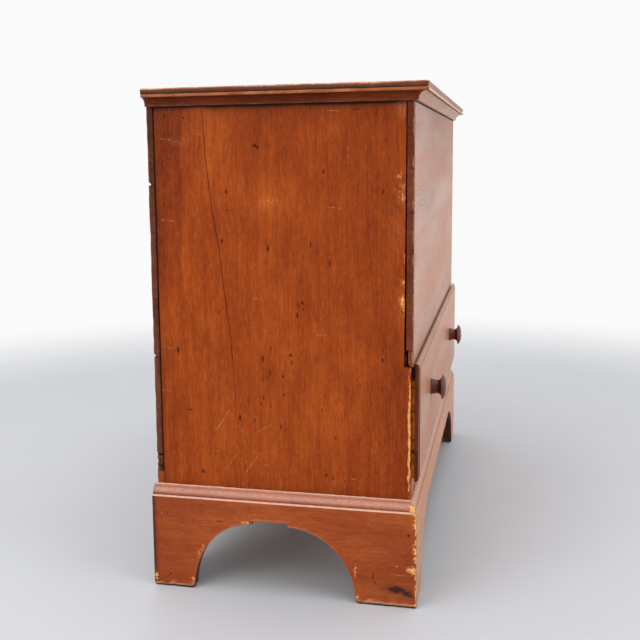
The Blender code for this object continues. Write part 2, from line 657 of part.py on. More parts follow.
def lid_ring(out, rear, z):
    """One level of the lid board, at a distance out from the case."""
    half = HALF + out
    front = FRONT_Y - out
    return [(-half, front, z), (half, front, z), (half, rear, z), (-half, rear, z)]


def build_lid_board(lid):
    """Lid board: full thickness over the case, thinner at the edge that lies on the mouldings."""
    inner = LID_FIT - SEAT_GAP
    edge_z = LID_TOP_Z - LID_EDGE
    rear = REAR_Y + LID_REAR_OVERHANG
    rings = [
        lid_ring(inner, REAR_Y, LID_UNDER_Z), lid_ring(inner, REAR_Y, edge_z),
        lid_ring(LID_OVERHANG, rear, edge_z), lid_ring(LID_OVERHANG, rear, LID_TOP_Z - LID_ARRIS),
        lid_ring(LID_OVERHANG - LID_ARRIS, rear - LID_REAR_OVERHANG, LID_TOP_Z),
    ]
    board = piece("lid_board", rings, lid, STAINED_FRONT)
    cuts = []
    for middle in hinge_middles().values():
        cuts += [lid_screw(x, BORE_FIT) for x in screw_places(middle).values()]
    cut(board, cuts)


def mould_profile():
    """Section of the lid's moulding, as distance out and height: fillet, quirk, cove and heel."""
    low_z = MOULD_TOP_Z - MOULD_HEIGHT
    fillet_z = MOULD_TOP_Z - MOULD_FILLET
    cove_out = LID_OVERHANG - MOULD_QUIRK
    radii = (cove_out - MOULD_FOOT, fillet_z - low_z - MOULD_HEEL)
    cove = arc((cove_out, low_z + MOULD_HEEL), radii, 180, 90)
    return [
        (LID_FIT, low_z), (MOULD_FOOT, low_z), *cove, (LID_OVERHANG, fillet_z),
        (LID_OVERHANG, MOULD_TOP_Z), (LID_FIT, MOULD_TOP_Z),
    ]


def build_lid_mouldings(lid):
    """Mouldings under the lid's edge on the front and both ends, mitred at the front corners."""
    section = mould_profile()
    ends = []
    for side in SIDES.values():
        ends.append([(side * (HALF + out - SEAT_GAP), FRONT_Y - out, z) for out, z in section])
    piece("lid_moulding_front", ends, lid, STAINED_FRONT)
    for name, side in SIDES.items():
        mitre = [(side * (HALF + out), FRONT_Y - out + SEAT_GAP, z) for out, z in section]
        rear = [(side * (HALF + out), REAR_Y, z) for out, z in section]
        piece(f"lid_moulding_{name}", [mitre, rear], lid, STAINED_EDGE)


def leaf_outline():
    """Section of a hinge leaf and its knuckle about the pin: a flat plate below, tangent to the round."""
    meet = math.degrees(math.acos((KNUCKLE_RADIUS - LEAF_THICKNESS) / KNUCKLE_RADIUS))
    knuckle = arc((0.0, 0.0), (KNUCKLE_RADIUS, KNUCKLE_RADIUS), 180 + meet, 540, 2 * ARC_STEPS)
    plate = [(-KNUCKLE_RADIUS, -LEAF_WIDTH), (LEAF_THICKNESS - KNUCKLE_RADIUS, -LEAF_WIDTH)]
    return plate + knuckle


def pin_round(radius, span):
    """Rings of a round bar on the hinge axis."""
    return turned([(radius, span[0]), (radius, span[1])], 0, (HINGE_Y, HINGE_Z))


def build_hinges(case, lid):
    """Butt hinges: a leaf on the back, a leaf under the lid, a pin through both, and their screws."""
    case_leaf = [(HINGE_Y + across, HINGE_Z + up) for across, up in leaf_outline()]
    lid_leaf = [(HINGE_Y + up, HINGE_Z - across) for across, up in leaf_outline()]
    for name, middle in hinge_middles().items():
        ends = (middle - HINGE_LENGTH / 2, middle + HINGE_LENGTH / 2)
        outer = KNUCKLE_SHARE * HINGE_LENGTH
        inner_span = (ends[0] + outer, ends[1] - outer)
        outer_spans = [(ends[0] - CUT_PAST, inner_span[0] + SEAT_GAP),
                       (inner_span[1] - SEAT_GAP, ends[1] + CUT_PAST)]
        bore = pin_round(PIN_RADIUS + BORE_FIT, (ends[0] - CUT_PAST, ends[1] + CUT_PAST))
        sweep = KNUCKLE_RADIUS + 2 * BORE_FIT
        screws = screw_places(middle)

        leaf = piece(f"hinge_case_leaf_{name}", along_x(case_leaf, *ends), case, IRON)
        cut(leaf, [bore, *[case_screw(x, BORE_FIT) for x in screws.values()]])
        cut(leaf, [pin_round(sweep, inner_span)])
        leaf = piece(f"hinge_lid_leaf_{name}", along_x(lid_leaf, *ends), lid, IRON)
        cut(leaf, [bore, *[lid_screw(x, BORE_FIT) for x in screws.values()]])
        cut(leaf, [pin_round(sweep, span) for span in outer_spans])
        piece(f"hinge_pin_{name}", pin_round(PIN_RADIUS, ends), case, IRON, smooth=True)
        for place, x in screws.items():
            piece(f"hinge_case_screw_{name}_{place}", case_screw(x), case, IRON, smooth=True)
            piece(f"hinge_lid_screw_{name}_{place}", lid_screw(x), lid, IRON, smooth=True)


def build_nails(case):
    """Cut nails: back boards to the ends, and ends to the well floor and the runners."""
    for name, side in SIDES.items():
        for board in back_board_levels():
            for level, place in back_nails(board, side).items():
                piece(f"back_nail_{board}_{name}_{level}", back_nail_shape(place), case, IRON)
        for use, place in end_nails().items():
            piece(f"{use}_nail_{name}", end_nail_shape(place, side), case, IRON)


def main():
    """Builds the chest on three parents: the fixed case, the drawer and the lid."""
    clear_scene()
    case = make_empty("case", (0.0, 0.0, 0.0))
    drawer = make_empty("drawer", (0.0, DRAWER_FACE_Y, DRAWER_LOW_Z))
    lid = make_empty("lid", (0.0, HINGE_Y, HINGE_Z))
    build_ends(case)
    build_front_board(case)
    build_back(case)
    build_floor_and_rails(case)
    build_base(case)
    build_drawer_front(drawer)
    build_drawer_box(drawer)
    build_knobs(drawer)
    build_lid_board(lid)
    build_lid_mouldings(lid)
    build_hinges(case, lid)
    build_nails(case)


main()
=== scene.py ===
"""Looks of the blanket chest: worn boards, mouldings, knobs and their finishes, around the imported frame.

Metres, +Z up, length along X, front towards -Y, as in the frame.
"""

import logging
import math
from dataclasses import dataclass, field, replace
from enum import Enum

import bmesh
import bpy
import numpy as np
from mathutils import Matrix, Vector


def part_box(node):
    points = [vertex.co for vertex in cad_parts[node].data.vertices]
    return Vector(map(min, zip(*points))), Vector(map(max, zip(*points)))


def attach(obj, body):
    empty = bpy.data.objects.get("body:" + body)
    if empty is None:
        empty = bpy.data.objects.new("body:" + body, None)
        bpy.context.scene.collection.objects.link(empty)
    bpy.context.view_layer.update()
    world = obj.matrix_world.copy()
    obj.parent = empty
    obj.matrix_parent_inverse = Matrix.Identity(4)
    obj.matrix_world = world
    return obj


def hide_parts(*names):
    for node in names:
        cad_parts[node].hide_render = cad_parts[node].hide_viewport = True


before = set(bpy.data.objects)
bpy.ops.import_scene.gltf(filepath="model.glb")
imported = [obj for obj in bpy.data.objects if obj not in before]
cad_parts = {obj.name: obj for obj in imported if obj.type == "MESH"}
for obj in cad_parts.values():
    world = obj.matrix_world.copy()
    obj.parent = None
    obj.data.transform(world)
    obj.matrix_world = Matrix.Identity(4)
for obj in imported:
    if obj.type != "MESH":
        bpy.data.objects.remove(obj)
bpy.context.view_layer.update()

LOG = logging.getLogger("blanket_chest")
MM = 0.001
FRAME_PIXELS = 640
SENSOR_MM = 36.0
WAVES = 14
SHARP_EDGE = math.radians(48.0)
MERGE_REACH = 1e-7
EDGE_STEPS = np.array([0.0, 0.35, 0.9, 1.7, 2.8, 4.2, 6.5]) * MM
GRAIN_FLOW = np.array([0.25, 1.0])
MIX_SHARE = 0
MIX_COLOURS = (6, 7)
MIX_RESULT = 2

Array = np.ndarray
Colour = tuple[float, float, float]
Patch = tuple[float, float, float, float, float]
Socket = bpy.types.NodeSocket


class Side(Enum):
    """Ends of the chest, by the sign of X."""

    LEFT = -1
    RIGHT = 1

    @property
    def word(self) -> str:
        """The side's name in the nodes of the frame."""
        return self.name.lower()


class Grain(Enum):
    """Axis that the wood's fibres follow."""

    ALONG_X = 0
    ALONG_Y = 1
    ALONG_Z = 2

    def stretch(self, along: float) -> tuple[float, float, float]:
        """Scale that draws a pattern out along the fibres."""
        return tuple(along if axis == self.value else 1.0 for axis in range(3))


@dataclass(frozen=True)
class Rings:
    """Pattern of a board's year rings.

    They are drawn out along the fibres, lie so many to the metre, darken by a share, fade over a range,
    have a shade of the stain's dark colour, are bent by the streaks and end at a depth below the log's heart.
    """

    along: float
    number: float
    share: float
    fade: tuple[float, float]
    shade: float
    bend: float = 5.0
    foot: float = 9.0


class Figure(Enum):
    """Way the board was sawn out of the log."""

    STRAIGHT = Rings(0.02, 62.0, 0.14, (8.0, 9.0), 1.0)
    ARCHED = Rings(0.20, 165.0, 0.50, (0.085, 0.13), 1.0)
    KNOTTED = Rings(0.17, 128.0, 0.80, (0.048, 0.080), 0.40, 7.0, 0.030)


def seen(red: float, green: float, blue: float) -> Colour:
    """Linear colour of a shade given as it looks, from 0 to 255."""
    share = np.array([red, green, blue]) / 255.0
    return tuple(np.where(share <= 0.04045, share / 12.92, ((share + 0.055) / 1.055) ** 2.4).tolist())


def node_box(name: str) -> tuple[Array, Array]:
    """Lowest and highest corner of a node of the frame."""
    low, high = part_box(name)
    return np.array(low), np.array(high)


def ripple(place: Array, length: float, seed: int) -> Array:
    """Smooth noise, about -1 to 1: a sum of sine waves with random directions and starts.

    Args:
        place: Points, with the coordinates on the last axis.
        length: Usual distance between two crests.
        seed: Start of the random draws.

    Returns:
        One value for each point.
    """
    draws = np.random.default_rng(seed)
    waves = draws.normal(size=(place.shape[-1], WAVES))
    starts = draws.uniform(0.0, 2.0 * np.pi, WAVES)
    total = np.sin(place @ waves * (2.0 * np.pi / length) + starts).sum(-1)
    return total / math.sqrt(WAVES)


def chipped(along: Array, limit: float, length: float, seed: int) -> Array:
    """Depth of chips along an edge: the upper part of a noise, so most of the edge stays whole.

    Args:
        along: Place along the edge.
        limit: Depth of a deep chip.
        length: Usual length of a chip.
        seed: Start of the random draws.

    Returns:
        Depth at each place, from 0.
    """
    coarse = ripple(along[..., None], length, seed)
    fine = ripple(along[..., None], length / 5.0, seed + 1)
    return limit * np.clip(0.75 * coarse + 0.35 * fine - 0.25, 0.0, 1.2)


def held(value: Array) -> Array:
    """Value held between 0 and 1."""
    return np.clip(value, 0.0, 1.0)


def rolled(distance: Array, radius: Array | float) -> Array:
    """Depth of a rounded edge behind its face: a quarter circle that ends at the border.

    Args:
        distance: Distance from the border along the face.
        radius: Radius of the rounding.

    Returns:
        Depth at each distance: the radius at the border, and 0 past the rounding.
    """
    short = np.clip(radius - distance, 0.0, radius)
    return radius - np.sqrt(np.maximum(radius ** 2 - short ** 2, 0.0))


def stations(low: float, high: float, step: float, extra: Array | tuple[float, ...] = ()) -> Array:
    """Places from low to high about a step apart, with closer ones at both ends.

    Args:
        low: First place.
        high: Last place.
        step: Distance between places away from the ends.
        extra: Further places to take in.

    Returns:
        The places in rising order.
    """
    reach = EDGE_STEPS[-1]
    count = max(2, round((high - low - 2.0 * reach) / step) + 1)
    inner = np.linspace(low + reach, high - reach, count)
    places = np.concatenate([low + EDGE_STEPS[:-1], inner, high - EDGE_STEPS[:-1], np.array(extra)])
    return np.unique(places.round(7))


def paired(low: float, high: float, insets: Array) -> Array:
    """Places at the same distances inside both ends."""
    return np.concatenate([low + insets, high - insets])


def hill(place: Array, centre: tuple[float, ...], size: tuple[float, ...]) -> Array:
    """Soft round patch, 1 at its centre: a bell curve of the scaled distance."""
    scaled = (place - np.array(centre)) / np.array(size)
    return np.exp(-(scaled ** 2).sum(-1))


def patched(place: Array, patches: tuple[Patch, ...]) -> Array:
    """Highest of several soft patches, each by its place, half width, half height and amount."""
    return np.maximum.reduce([amount * hill(place, (along, height), (wide, tall))
                              for along, height, wide, tall, amount in patches])


def case_corner() -> tuple[float, float]:
    """Half of the case's length, and where its front face lies."""
    low, high = node_box("front_board")
    return high[0], low[1]


def mesh_object(name: str, vertices: Array, faces: Array, marks: dict[str, Array]) -> bpy.types.Object:
    """Closed mesh from arrays, with its faces turned outwards.

    Args:
        name: Name of the piece.
        vertices: Places of the vertices.
        faces: Vertex numbers of the four-sided faces.
        marks: One value a vertex under each attribute's name.

    Returns:
        The new object, at the origin.
    """
    mesh = bpy.data.meshes.new(name)
    mesh.vertices.add(len(vertices))
    mesh.vertices.foreach_set("co", vertices.astype(np.float32).ravel())
    mesh.loops.add(faces.size)
    mesh.loops.foreach_set("vertex_index", faces.astype(np.int32).ravel())
    mesh.polygons.add(len(faces))
    mesh.polygons.foreach_set("loop_start", np.arange(0, faces.size, faces.shape[1], dtype=np.int32))
    mesh.update(calc_edges=True)
    for label, values in marks.items():
        layer = mesh.attributes.new(label, "FLOAT", "POINT")
        layer.data.foreach_set("value", values.astype(np.float32).ravel())
    solid = bmesh.new()
    solid.from_mesh(mesh)
    bmesh.ops.remove_doubles(solid, verts=solid.verts, dist=MERGE_REACH)
    bmesh.ops.recalc_face_normals(solid, faces=solid.faces)
    solid.to_mesh(mesh)
    solid.free()
    mesh.shade_smooth()
    mesh.set_sharp_from_angle(angle=SHARP_EDGE)
    made = bpy.data.objects.new(name, mesh)
    bpy.context.scene.collection.objects.link(made)
    return made


def grid_faces(rows: int, columns: int) -> Array:
    """Vertex numbers of the four-sided faces of a grid."""
    index = np.arange(rows * columns).reshape(rows, columns)
    corners = [index[:-1, :-1], index[1:, :-1], index[1:, 1:], index[:-1, 1:]]
    return np.stack(corners, -1).reshape(-1, 4)


@dataclass
class Slab:
    """A closed body between two grids of points, joined along their four borders by rows of rim points.

    A mark keeps a share of itself on the rim and has a further amount added there.
    """

    name: str
    front: Array
    back: Array
    marks: dict[str, tuple[Array, Array]] = field(default_factory=dict)
    rim_places: tuple[float, ...] = (0.06, 0.3, 0.7, 0.94)
    rim_keep: dict[str, float] = field(default_factory=lambda: {"wear": 0.15, "rub": 0.1, "raw": 0.0})
    rim_added: dict[str, float] = field(default_factory=dict)

    def rim(self) -> Array:
        """Vertex numbers of the front grid's border, in order round it."""
        rows, columns = self.front.shape[:2]
        index = np.arange(rows * columns).reshape(rows, columns)
        return np.concatenate([index[:-1, 0], index[-1, :-1], index[:0:-1, -1], index[0, :0:-1]])

    def between(self, front: Array, back: Array) -> Array:
        """Values on the rim rows, from the front border to the back one."""
        share = np.array(self.rim_places)[:, None, None]
        near, far = (grid.reshape(-1, grid.shape[-1])[self.rim()] for grid in (front, back))
        return near * (1.0 - share) + far * share

    def faces(self) -> Array:
        """Vertex numbers of both grids' faces and of the strips round the border."""
        rows, columns = self.front.shape[:2]
        grid = grid_faces(rows, columns)
        behind = rows * columns
        rim = self.rim()
        added = 2 * behind + np.arange(len(self.rim_places) * len(rim)).reshape(-1, len(rim))
        rings = np.concatenate([rim[None], added, rim[None] + behind])
        after = np.roll(rings, -1, axis=1)
        strips = np.stack([rings[:-1], after[:-1], after[1:], rings[1:]], -1).reshape(-1, 4)
        return np.concatenate([grid, grid[:, ::-1] + behind, strips])

    def build(self) -> bpy.types.Object:
        """The slab as one closed mesh."""
        rim_points = self.between(self.front, self.back).reshape(-1, 3)
        vertices = np.concatenate([self.front.reshape(-1, 3), self.back.reshape(-1, 3), rim_points])
        marks = {}
        for label, (front, back) in self.marks.items():
            side = self.between(front[..., None], back[..., None]).ravel()
            side = side * self.rim_keep.get(label, 1.0) + self.rim_added.get(label, 0.0)
            marks[label] = np.concatenate([front.ravel(), back.ravel(), side])
        return mesh_object(self.name, vertices, self.faces(), marks)


class Graph:
    """Short ways to add shader nodes to one material and join them."""

    def __init__(self, name: str) -> None:
        """Starts a material with its Principled shader."""
        self.material = bpy.data.materials.new(name)
        self.material.use_nodes = True
        self.nodes = self.material.node_tree.nodes
        self.links = self.material.node_tree.links
        self.shader = self.nodes["Principled BSDF"]

    def feed(self, socket: Socket, value: object) -> None:
        """Joins a socket to another, or sets its value."""
        if isinstance(value, bpy.types.NodeSocket):
            self.links.new(value, socket)
        else:
            socket.default_value = value

    def add(self, kind: str, inputs: dict, output: int | str = 0, **settings: object) -> Socket:
        """Adds one node.

        Args:
            kind: Blender's name of the node's type.
            inputs: Value or socket for each input.
            output: The output wanted.
            settings: Properties of the node.

        Returns:
            The output socket.
        """
        node = self.nodes.new(kind)
        for label, value in settings.items():
            setattr(node, label, value)
        for label, value in inputs.items():
            self.feed(node.inputs[label], value)
        return node.outputs[output]

    def place(self) -> Socket:
        """Object coordinates."""
        return self.add("ShaderNodeTexCoord", {}, "Object")

    def mark(self, label: str) -> Socket:
        """Value of one of the piece's own attributes."""
        return self.add("ShaderNodeAttribute", {}, "Fac", attribute_name=label)

    def mapped(self, vector: Socket, scale: tuple, shift: tuple = (0.0, 0.0, 0.0)) -> Socket:
        """Coordinates scaled and shifted."""
        return self.add("ShaderNodeMapping", {"Vector": vector, "Scale": scale, "Location": shift})

    def noise(self, vector: Socket, scale: float, detail: float = 3.0, rough: float = 0.5,
              output: str = "Fac") -> Socket:
        """Cloudy noise with about scale features a metre."""
        inputs = {"Vector": vector, "Scale": scale, "Detail": detail, "Roughness": rough}
        return self.add("ShaderNodeTexNoise", inputs, output)

    def maths(self, operation: str, first: object, second: object = 0.0, clamp: bool = False) -> Socket:
        """One sum on two numbers."""
        return self.add("ShaderNodeMath", {0: first, 1: second}, operation=operation, use_clamp=clamp)

    def vector(self, operation: str, first: object, second: object, output: str = "Vector") -> Socket:
        """One sum on two vectors."""
        return self.add("ShaderNodeVectorMath", {0: first, 1: second}, output, operation=operation)

    def band(self, value: object, low: float, high: float, to_low: float = 0.0,
             to_high: float = 1.0) -> Socket:
        """Value carried smoothly from one range to another, and held at its ends."""
        inputs = {"Value": value, "From Min": low, "From Max": high, "To Min": to_low, "To Max": to_high}
        return self.add("ShaderNodeMapRange", inputs, interpolation_type="SMOOTHSTEP")

    def ramp(self, value: Socket, stops: tuple[tuple[float, Colour], ...]) -> Socket:
        """Colour along a row of stops."""
        node = self.nodes.new("ShaderNodeValToRGB")
        elements = node.color_ramp.elements
        while len(elements) < len(stops):
            elements.new(0.5)
        for element, (position, colour) in zip(elements, stops):
            element.position = position
            element.color = (*colour, 1.0)
        self.feed(node.inputs["Fac"], value)
        return node.outputs["Color"]

    def blend(self, share: object, first: object, second: object) -> Socket:
        """Mix of two colours."""
        node = self.nodes.new("ShaderNodeMix")
        node.data_type = "RGBA"
        self.feed(node.inputs[MIX_SHARE], share)
        for slot, value in zip(MIX_COLOURS, (first, second)):
            self.feed(node.inputs[slot], (*value, 1.0) if isinstance(value, tuple) else value)
        return node.outputs[MIX_RESULT]

    def wobble(self, vector: Socket, scale: float, reach: tuple[float, float, float]) -> Socket:
        """Cloudy offsets to either side, with a reach along each axis."""
        cloud = self.noise(vector, scale, 2.0, output="Color")
        return self.vector("MULTIPLY", self.vector("SUBTRACT", cloud, (0.5, 0.5, 0.5)), reach)

    def bump(self, height: Socket, strength: float, distance: float) -> Socket:
        """Surface slope from a height."""
        return self.add("ShaderNodeBump", {"Height": height, "Strength": strength, "Distance": distance})

    def finish(self, **sockets: object) -> bpy.types.Material:
        """Sets the shader's inputs, given as words joined by underscores, and returns the material."""
        for label, value in sockets.items():
            name = label.replace("_", " ").title().replace("Ior", "IOR")
            self.feed(self.shader.inputs[name], value)
        return self.material


class Pit(Enum):
    """Half the width and half the height of a pit."""

    DOT = (2.6 * MM, 2.8 * MM)
    HOLE = (3.8 * MM, 4.0 * MM)
    SLIT = (2.5 * MM, 6.0 * MM)
    LONG = (3.1 * MM, 9.0 * MM)
    THIN = (1.7 * MM, 9.0 * MM)
    FLAT = (8.0 * MM, 2.0 * MM)


@dataclass(frozen=True)
class Spot:
    """A dark pit, knot or nail hole on a board's face."""

    place: tuple[float, float]
    shape: Pit
    dark: float


@dataclass(frozen=True)
class Stroke:
    """A pale scratch on a board's face, from one place to another."""

    start: tuple[float, float]
    end: tuple[float, float]
    width: float


@dataclass(frozen=True)
class Layer:
    """Noise drawn out along the fibres, with so many features a metre."""

    stretch: float
    scale: float
    detail: float = 3.0
    rough: float = 0.5


class Texture(Enum):
    """Layers of a board's grain and wear."""

    MOTTLE = Layer(0.5, 34.0, 5.0, 0.62)
    BROAD = Layer(0.10, 16.0)
    STREAK = Layer(0.045, 85.0, 4.0, 0.6)
    FIBRE = Layer(0.02, 620.0, 3.0, 0.6)
    SPECK = Layer(0.22, 360.0, 3.0, 0.6)
    ZONE = Layer(0.45, 3.2, 2.0)
    FLECK = Layer(0.13, 270.0, 2.0)
    RAGGED = Layer(0.5, 280.0, 6.0, 0.74)
    DENT = Layer(1.6, 120.0, 2.0)


TONE_WEIGHTS = {Texture.MOTTLE: 0.30, Texture.BROAD: 0.16, Texture.STREAK: 0.11, Texture.FIBRE: 0.27,
                Texture.SPECK: 0.31}
TONE_STOPS = (0.30, 0.50, 0.68)
PIT_COLOUR = seen(40, 20, 14)
# Near-black of cracks and splits, and of painted contact shadows and painted shadow on the drawer's end strip
CRACK_AND_SHADOW_COLOUR = seen(30, 13, 8)
HAZE_TINT = seen(238, 186, 152)
HAZE_ROUGHNESS = 0.35
BUMP_STRENGTH = 0.35
BUMP_DEPTH = 0.4 * MM


@dataclass(frozen=True)
class WoodFinish:
    """Stained and varnished wood with grain, flecks, scratches, soiling with painted shade, pale rubbed
    places with painted highlight, and bare worn places.
    """

    name: str
    grain: Grain
    dark: Colour
    middle: Colour
    light: Colour
    bare: Colour = seen(226, 172, 104)
    rubbed: Colour = seen(206, 140, 104)
    thin: Colour = seen(204, 114, 50)
    haze: float = 0.0
    grime_and_shade: Colour = seen(44, 20, 12)
    figure: Figure = Figure.STRAIGHT
    figure_centre: tuple[float, float, float] = (0.0, 0.0, 0.0)
    shift: tuple[float, float, float] = (0.0, 0.0, 0.0)
    roughness: float = 0.38
    gloss: float = 0.5
    flecks: float = 0.5
    scratches: float = 0.5
    spots: tuple[Spot, ...] = ()
    strokes: tuple[Stroke, ...] = ()

    def drawn(self, graph: Graph, place: Socket, texture: Texture) -> Socket:
        """One layer of noise, drawn out along the fibres."""
        layer = texture.value
        scaled = graph.mapped(place, self.grain.stretch(layer.stretch))
        return graph.noise(scaled, layer.scale, layer.detail, layer.rough)

    def material(self) -> bpy.types.Material:
        """The finish as a node material on object coordinates and the piece's own marks."""
        graph = Graph(self.name)
        place = graph.mapped(graph.place(), (1.0, 1.0, 1.0), self.shift)
        bent = graph.vector("ADD", place, graph.wobble(place, 2.6, (0.03, 0.03, 0.03)))
        layers = {texture: self.drawn(graph, place if texture is Texture.MOTTLE else bent, texture)
                  for texture in TONE_WEIGHTS}
        broad, streak, fibre = layers[Texture.BROAD], layers[Texture.STREAK], layers[Texture.FIBRE]

        zone = graph.band(self.drawn(graph, place, Texture.ZONE), 0.3, 0.7, 0.45, 0.55)
        tone = graph.maths("ADD", graph.maths("MULTIPLY", graph.mark("tone"), 0.16), zone)
        for texture, weight in TONE_WEIGHTS.items():
            change = graph.maths("MULTIPLY", graph.maths("SUBTRACT", layers[texture], 0.5), weight)
            tone = graph.maths("ADD", tone, change)
        colour = graph.ramp(tone, tuple(zip(TONE_STOPS, (self.dark, self.middle, self.light))))

        rings = self.rings(graph, bent, streak)
        colour = graph.blend(rings, colour, tuple(self.figure.value.shade * part for part in self.dark))
        fleck = self.fleck_mask(graph, bent)
        colour = graph.blend(fleck, colour, self.grime_and_shade)
        # Darkening mark: real soiling, and painted shade under overhangs, in creases and gaps and on inner
        # faces
        dirt_and_shade = graph.maths("MULTIPLY", graph.mark("grime_and_shade"), graph.band(broad, 0.2, 0.65, 0.55, 1.0), True)
        colour = graph.blend(dirt_and_shade, colour, self.grime_and_shade)
        hollows = [(fleck, 0.5), (rings, 3.0)]
        if self.spots:
            pits = self.spot_mask(graph, place)
            colour = graph.blend(pits, colour, PIT_COLOUR)
            hollows.append((pits, 0.3))

        ragged = self.drawn(graph, place, Texture.RAGGED)
        # Paling mark: rubbed pale places, and painted highlight on mouldings that face up or catch glare
        rub = graph.maths("MULTIPLY", graph.mark("rub"), graph.band(ragged, 0.3, 0.7, 0.55, 1.0), True)
        colour = graph.blend(rub, colour, self.rubbed)
        loss = graph.maths("ADD", graph.mark("wear"), graph.band(ragged, 0.25, 0.75, -0.45, 0.45))
        colour = graph.blend(graph.band(loss, 0.34, 0.62, 0.0, 0.8), colour, self.thin)
        raw = graph.maths("MAXIMUM", graph.band(loss, 0.56, 0.80), graph.mark("raw"))
        lines = graph.band(graph.maths("ADD", streak, fibre), 0.82, 1.20)
        pale = graph.blend(lines, self.bare, tuple(0.6 * part for part in self.bare))
        colour = graph.blend(raw, colour, pale)
        scratch = self.scratch_mask(graph, place)
        colour = graph.blend(scratch, colour, self.rubbed)
        # Near-black mark: cracks, splits and nicks, and painted shadows at the feet and on the drawer's end
        # strip
        colour = graph.blend(graph.mark("crack_and_shadow"), colour, CRACK_AND_SHADOW_COLOUR)

        height = graph.maths("ADD", graph.maths("MULTIPLY", fibre, 0.55),
                             graph.maths("MULTIPLY", streak, 0.45))
        for hollow, depth in (*hollows, (raw, 0.6), (scratch, 0.5)):
            height = graph.maths("SUBTRACT", height, graph.maths("MULTIPLY", hollow, depth))
        normal = graph.bump(height, BUMP_STRENGTH, BUMP_DEPTH)
        rough = graph.band(broad, 0.25, 0.75, self.roughness - 0.06, self.roughness + 0.08)
        rough = graph.maths("ADD", rough, graph.maths("MULTIPLY", raw, 0.30), True)
        return graph.finish(base_color=colour, roughness=rough, normal=normal, specular_ior_level=self.gloss,
                            sheen_weight=self.haze, sheen_roughness=HAZE_ROUGHNESS,
                            sheen_tint=(*HAZE_TINT, 1.0))

    def rings(self, graph: Graph, bent: Socket, streak: Socket) -> Socket:
        """Dark year rings: stripes of the distance from the log's heart, drawn out along the fibres."""
        pattern = self.figure.value
        heart = graph.vector("SUBTRACT", bent, self.figure_centre)
        away = graph.vector("MULTIPLY", heart, self.grain.stretch(pattern.along))
        distance = graph.add("ShaderNodeVectorMath", {0: away}, "Value", operation="LENGTH")
        turn = graph.maths("ADD", graph.maths("MULTIPLY", distance, pattern.number * 2.0 * math.pi),
                           graph.maths("MULTIPLY", streak, pattern.bend))
        line = graph.band(graph.maths("SINE", turn), 0.25, 0.98)
        level = graph.vector("DOT_PRODUCT", heart, (0.0, 0.0, 1.0), "Value")
        line = graph.maths("MULTIPLY", line, graph.band(level, -pattern.foot, pattern.foot / 3.0))
        return graph.maths("MULTIPLY", line, graph.band(distance, *pattern.fade, pattern.share, 0.0))

    def fleck_mask(self, graph: Graph, bent: Socket) -> Socket:
        """Short dark flecks along the fibres, in patches."""
        short = self.drawn(graph, bent, Texture.FLECK)
        limit = graph.band(graph.noise(bent, 9.0, 2.0), 0.35, 0.75, 0.80, 0.66)
        over = graph.band(graph.maths("SUBTRACT", short, limit), 0.0, 0.06)
        return graph.maths("MULTIPLY", over, self.flecks)

    def spot_mask(self, graph: Graph, place: Socket) -> Socket:
        """Pits at their places on an end's face, with outlines made uneven by noise."""
        flat = graph.vector("MULTIPLY", place, (0.0, 1.0, 1.0))
        uneven = graph.vector("ADD", flat, graph.wobble(place, 330.0, (0.0, 4.0 * MM, 6.0 * MM)))
        scaled = {pit: graph.vector("DIVIDE", uneven, (1.0, *pit.value)) for pit in Pit}
        total = 0.0
        for spot in self.spots:
            centre = (0.0, *np.divide(spot.place, spot.shape.value).tolist())
            away = graph.vector("DISTANCE", scaled[spot.shape], centre, "Value")
            total = graph.maths("MAXIMUM", total, graph.band(away, 0.2, 1.05, spot.dark, 0.0))
        return total

    def scratch_mask(self, graph: Graph, place: Socket) -> Socket:
        """Fine random scratches and dents, and broken strokes at their places."""
        turned = graph.add("ShaderNodeMapping", {"Vector": place, "Rotation": (0.9, 0.35, 0.6),
                                                 "Scale": (1.0, 0.035, 1.0)})
        thin = graph.band(graph.noise(turned, 420.0, 1.0), 0.74, 0.80)
        total = graph.maths("MULTIPLY", thin, graph.band(graph.noise(place, 7.0, 1.0), 0.5, 0.72))
        dents = graph.band(self.drawn(graph, place, Texture.DENT), 0.72, 0.78)
        total = graph.maths("MAXIMUM", total, graph.maths("MULTIPLY", dents, 0.6))
        total = graph.maths("MULTIPLY", total, self.scratches)
        if self.strokes:
            broken = graph.band(graph.noise(place, 150.0, 2.0), 0.42, 0.58, 0.15, 1.0)
            for stroke in self.strokes:
                line = graph.maths("MULTIPLY", self.stroke_line(graph, place, stroke), broken)
                total = graph.maths("MAXIMUM", total, line)
        return total

    def stroke_line(self, graph: Graph, place: Socket, stroke: Stroke) -> Socket:
        """One stroke: a band where both the distance past its ends and the distance beside it are small."""
        run = np.subtract(stroke.end, stroke.start)
        length = float(np.hypot(*run))
        off = []
        for way in (run / length, np.array([-run[1], run[0]]) / length):
            level = graph.vector("DOT_PRODUCT", place, (0.0, *way.tolist()), "Value")
            middle = float(0.5 * np.add(stroke.start, stroke.end) @ way)
            off.append(graph.maths("ABSOLUTE", graph.maths("SUBTRACT", level, middle)))
        away = graph.maths("MAXIMUM", graph.maths("SUBTRACT", off[0], 0.5 * length), off[1])
        return graph.band(away, 0.3 * stroke.width, stroke.width, 0.5, 0.0)


